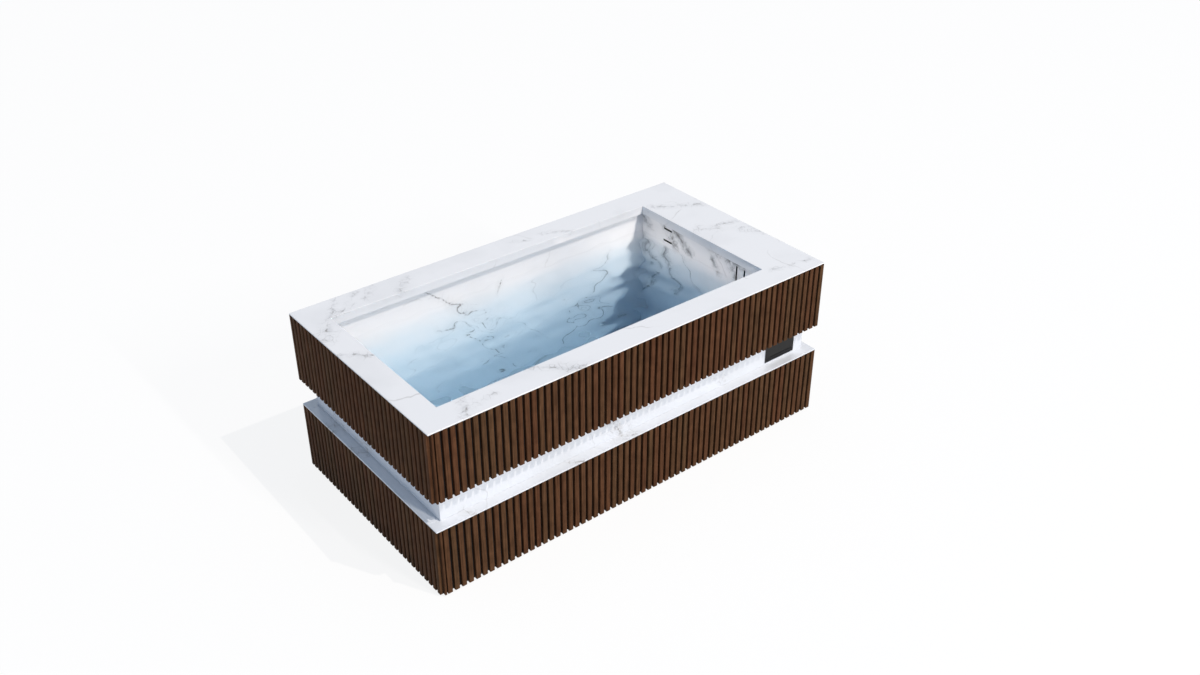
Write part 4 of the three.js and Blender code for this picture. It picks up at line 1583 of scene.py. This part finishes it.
@dataclass
class Machinery:
    """Frame, touch panel, water fittings and the equipment under the deck.

    Attributes:
        sensor_corner: Lower left corner of the sensor strip, from that of the touch glass.
        sensor_size: Length and height of the strip.
        sensor_proud: How far the strip stands out of the glass, and how far it is let in.
    """

    sensor_corner: tuple[float, float] = (24 * MM, 17 * MM)
    sensor_size: tuple[float, float] = (132 * MM, 2.4 * MM)
    sensor_proud: float = 0.2 * MM

    def build(self) -> None:
        """Rounds and dresses each piece."""
        pieces = (
            (Body.TUB, POWDER_COAT, Slot.PAINTED_STEEL, METAL_EDGE, self._frame_nodes()),
            (Body.TUB, RUBBER, Slot.RUBBER, METAL_EDGE, ("skid_front", "skid_back")),
            (Body.TUB, RIGID_FOAM, Slot.FOAM, METAL_EDGE, ("floor_insulation",)),
            (Body.TUB, BLACK_MOULDING, Slot.BLACK_PLASTIC, PLASTIC_EDGE, ("control_housing",)),
            (Body.TUB, GLASS, Slot.DARK_GLASS, SMALL_EDGE, ("control_glass",)),
            (Body.TUB, SLOT_SHADE_AND_SENSOR_MOULDING, Slot.BLACK_PLASTIC, SMALL_EDGE, ("return_fitting", "suction_fitting")),
            (Body.TUB, BLACK_MOULDING, Slot.BLACK_PLASTIC, SMALL_EDGE, ("cable_gland",)),
            (Body.TUB, EXTRUDED_PIPE, Slot.WHITE_PIPE, SMALL_EDGE, ("suction_pipe", "return_pipe")),
            (Body.TUB, GALVANISED, Slot.GALVANISED, SMALL_EDGE, ("equipment_tray",)),
            (Body.TUB, GREY_MOULDING, Slot.GREY_PLASTIC, PLASTIC_EDGE, ("pump_casing", "filter_canister")),
            (Body.TUB, FILTER_CLOTH, Slot.FILTER_MEDIA, METAL_EDGE, ("filter_cartridge",)),
            (Body.TUB, RUBBER, Slot.RUBBER, SEAL_EDGE, ("lid_seal",)),
            (Body.TUB, POWDER_COAT, Slot.PAINTED_STEEL, METAL_EDGE, ("compressor",)),
            (Body.TUB, BRUSHED_STAINLESS, Slot.STAINLESS, METAL_EDGE, ("heat_exchanger", "floor_drain")),
            (Body.TUB, BRUSHED_STAINLESS, Slot.STAINLESS, FINE_EDGE, ("drain_strainer",)),
            (Body.TUB, ROLLED_ALUMINIUM, Slot.ALUMINIUM, FINE_EDGE, ("condenser_coil",)),
            (Body.TUB, BLACK_MOULDING, Slot.BLACK_PLASTIC, PLASTIC_EDGE, ("fan_shroud",)),
            (Body.TUB, CAST_BRASS, Slot.BRASS, METAL_EDGE, ("drain_valve",)),
            (Body.IMPELLER, BLACK_MOULDING, Slot.BLACK_PLASTIC, SMALL_EDGE, ("pump_impeller",)),
            (Body.FILTER_CAP, BLACK_MOULDING, Slot.BLACK_PLASTIC, PLASTIC_EDGE, ("filter_lid",)),
            (Body.FAN, GREY_MOULDING, Slot.GREY_PLASTIC, SMALL_EDGE, ("fan_rotor",)),
            (Body.DRAIN_HANDLE, DIPPED_VINYL, Slot.RED_LEVER, METAL_EDGE, ("drain_lever",)),
        )
        for body, finish, slot, edge, nodes in pieces:
            for node in nodes:
                cover(node, "skin", edge, finish, body, slot)
        strip = mesh_from("control_sensor_strip", self._sensor)
        dress(strip, SLOT_SHADE_AND_SENSOR_MOULDING, Body.TUB)

    def _sensor(self, form: BMesh) -> None:
        """The black strip of sensors in the lower part of the touch glass.

        Args:
            form: The mesh.
        """
        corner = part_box("control_glass")[0]
        left, bottom = corner.x + self.sensor_corner[0], corner.z + self.sensor_corner[1]
        length, height = self.sensor_size
        front, back = corner.y - self.sensor_proud, corner.y + self.sensor_proud
        add_box(form, (left, front, bottom), (left + length, back, bottom + height))

    def _frame_nodes(self) -> tuple[str, ...]:
        """Names of the steel frame's solids.

        Returns:
            The names.
        """
        rails = [f"base_rail_{side.label}" for side in Side]
        bearers = [f"bearer_{place}" for place in ("left", "middle", "right")]
        posts = [f"post_{y}_{x}" for y in ("front", "back") for x in ("left", "right")]
        return (*rails, *bearers, *posts)


# Stage


def seen_by_eye(add: Adder) -> NodeSocket:
    """1 for rays from the camera, also by way of a shine or through glass, and 0 for the rest.

    Args:
        add: Adds a node to the tree that gets the mask.

    Returns:
        The mask.
    """
    path = add("ShaderNodeLightPath").outputs
    seen = path["Is Camera Ray"]
    for kind in ("Is Glossy Ray", "Is Transmission Ray"):
        seen = add("ShaderNodeMath", {"Value": seen, "Value_001": path[kind]}, "Value", operation="MAXIMUM")
    return seen


@dataclass(frozen=True)
class PaleFloor(Finish):
    """Seamless white studio floor: white to the eye, with the object's soft shadow.

    Attributes:
        colour: The matt paint.
        shadow_share: How much of the paint, and so of the shadow on it, the eye sees.
        lift: How bright the rest is; 1 is white.
    """

    colour: str = "#F4F4F4"
    shadow_share: float = 0.15
    lift: float = 1.02

    def shade(self, add: Adder) -> NodeSocket:
        """A matt white floor that is lifted to white where it is seen.

        Args:
            add: Adds a node to the material.

        Returns:
            The shader's output.
        """
        matt = add("ShaderNodeBsdfDiffuse", {"Color": linear(self.colour)}, "BSDF")
        white = add("ShaderNodeEmission", {"Color": WHITE, "Strength": self.lift}, "Emission")
        lifted = add(
            "ShaderNodeMixShader", {"Fac": self.shadow_share, "Shader": white, "Shader_001": matt}, "Shader"
        )
        return add(
            "ShaderNodeMixShader", {"Fac": seen_by_eye(add), "Shader": matt, "Shader_001": lifted}, "Shader"
        )


@dataclass(frozen=True)
class Lamp:
    """A distant lamp.

    Attributes:
        name: Its name.
        source: Direction towards it.
        colour: Its colour.
        strength: Its strength, in watts per square metre.
        spread: How wide it looks, in degrees, which softens its shadows.
    """

    name: str
    source: Point
    colour: str
    strength: float
    spread: float

    def build(self) -> None:
        """Hangs the lamp."""
        data = bpy.data.lights.new(self.name, "SUN")
        data.energy = self.strength
        data.color = linear(self.colour)[:3]
        data.angle = math.radians(self.spread)
        lamp = bpy.data.objects.new(self.name, data)
        lamp.rotation_mode = "QUATERNION"
        lamp.rotation_quaternion = Vector(self.source).to_track_quat("Z", "Y")
        bpy.context.scene.collection.objects.link(lamp)


@dataclass(frozen=True)
class Softbox:
    """A flat lamp that shines one way and doesn't show itself.

    Attributes:
        name: Its name.
        place: Its middle.
        facing: The way it shines.
        long_way: Roughly the way its longer side runs.
        size: Its length that way, and its width.
        power: Its power, in watts.
        colour: Its colour.
        spread: How wide its beam opens, in degrees.
    """

    name: str
    place: Point
    facing: Point
    long_way: Point
    size: tuple[float, float]
    power: float
    colour: str
    spread: float = 180.0

    def build(self) -> None:
        """Hangs the lamp."""
        data = bpy.data.lights.new(self.name, "AREA")
        data.spread = math.radians(self.spread)
        data.shape = "RECTANGLE"
        data.size, data.size_y = self.size
        data.energy = self.power
        data.color = linear(self.colour)[:3]
        lamp = bpy.data.objects.new(self.name, data)
        back = -Vector(self.facing).normalized()
        across = back.cross(Vector(self.long_way)).normalized()
        turn = Matrix((across.cross(back), across, back)).transposed().to_4x4()
        lamp.matrix_world = Matrix.Translation(self.place) @ turn
        lamp.visible_camera = False
        lamp.visible_glossy = False
        lamp.visible_transmission = False
        bpy.context.scene.collection.objects.link(lamp)


# The photograph's light: a high key light and a tall softbox in front, and low fills across the basin
KEY_LIGHT = Lamp("key_light", (0.30, -0.576, 1.0), "#FFF4E8", 1.60, 0.5)
FRONT_LIGHT = Softbox(
    "front_light", (3.0, -17.06, 10.5), (-0.15, 0.853, -0.5), (0.3, 0, 1), (5.6, 0.15), 1820, "#FFF8F0"
)
BACK_WALL_LIGHT = Softbox(
    "back_wall_light", (-0.3, -0.385, 0.745), (0, 0.8, -0.36), (1, 0, 0), (1.2, 0.03), 0.72, "#FFF0E0", 60.0
)
END_WALL_LIGHT = Softbox(
    "end_wall_light", (0.2, 0.01, 0.755), (1, 0, -0.25), (0, 1, 0), (0.74, 0.03), 0.25, "#FFEBD8", 48.0
)
CORNER_LIGHT = Softbox(
    "corner_light", (0.61, -0.37, 0.745), (0, 0.8, -0.19), (1, 0, 0), (0.3, 0.03), 0.075, "#FFF4E8", 30.0
)


@dataclass
class Studio:
    """Floor, sky, lamps and camera.

    Attributes:
        lamps: The lamps, besides the sky.
        floor_reach: Half the floor's width.
        camera_place: Where the camera stands.
        azimuth: The camera's turn about the object, in degrees.
        elevation: Its height above the horizon, in degrees.
        lens: Its focal length, and sensor its sensor's width, in millimetres.
    """

    lamps: tuple[Lamp | Softbox, ...] = (
        KEY_LIGHT, FRONT_LIGHT, BACK_WALL_LIGHT, END_WALL_LIGHT, CORNER_LIGHT
    )
    sky_colour: str = "#CBE2FF"
    sky_strength: float = 0.43
    floor_reach: float = 40.0
    camera_place: Point = (-2.6585, -3.5554, 3.2871)
    azimuth: float = -38.608
    elevation: float = 31.951
    lens: float = 36.72
    sensor: float = 36.0

    def build(self) -> None:
        """Sets the stage round the object."""
        bpy.context.scene.view_settings.view_transform = "Standard"
        self._floor()
        self._sky()
        for lamp in self.lamps:
            lamp.build()
        self._camera()

    def _floor(self) -> None:
        """A wide floor under the skids."""
        reach = self.floor_reach
        mesh = bpy.data.meshes.new("studio_floor")
        corners = [(-reach, -reach, 0), (reach, -reach, 0), (reach, reach, 0), (-reach, reach, 0)]
        mesh.from_pydata(corners, [], [(0, 1, 2, 3)])
        mesh.materials.append(PaleFloor("seamless_white_floor").material())
        new_piece("studio_floor", mesh)

    def _sky(self) -> None:
        """A cool soft fill all round, white where it is seen."""
        world = bpy.data.worlds.new("studio_sky")
        world.use_nodes = True
        world.node_tree.nodes.clear()
        add = partial(add_node, world.node_tree)
        fill = add(
            "ShaderNodeBackground",
            {"Color": linear(self.sky_colour), "Strength": self.sky_strength},
            "Background",
        )
        white = add("ShaderNodeBackground", {"Color": WHITE, "Strength": 1.0}, "Background")
        mixed = add(
            "ShaderNodeMixShader", {"Fac": seen_by_eye(add), "Shader": fill, "Shader_001": white}, "Shader"
        )
        add("ShaderNodeOutputWorld", {"Surface": mixed})
        bpy.context.scene.world = world

    def _camera(self) -> None:
        """The photograph's view."""
        data = bpy.data.cameras.new("camera")
        data.sensor_width = self.sensor
        data.lens = self.lens
        camera = bpy.data.objects.new("camera", data)
        turn, rise = math.radians(self.azimuth), math.radians(self.elevation)
        back = Vector((math.sin(turn) * math.cos(rise), -math.cos(turn) * math.cos(rise), math.sin(rise)))
        camera.location = self.camera_place
        camera.rotation_mode = "QUATERNION"
        camera.rotation_quaternion = (-back).to_track_quat("-Z", "Y")
        bpy.context.scene.collection.objects.link(camera)
        bpy.context.scene.camera = camera


def main() -> None:
    """Builds the tub piece by piece, after its stage."""
    logging.basicConfig(level=logging.INFO, format="%(message)s")
    Studio().build()
    StoneWork().build()
    row = SlatRow()
    for index, (band, side) in enumerate((band, side) for band in Band for side in Side):
        SlatPanel(side, band, row, seed=index + 1).build()
    Machinery().build()
    WaterFill().build()


if __name__ == "__main__":
    main()
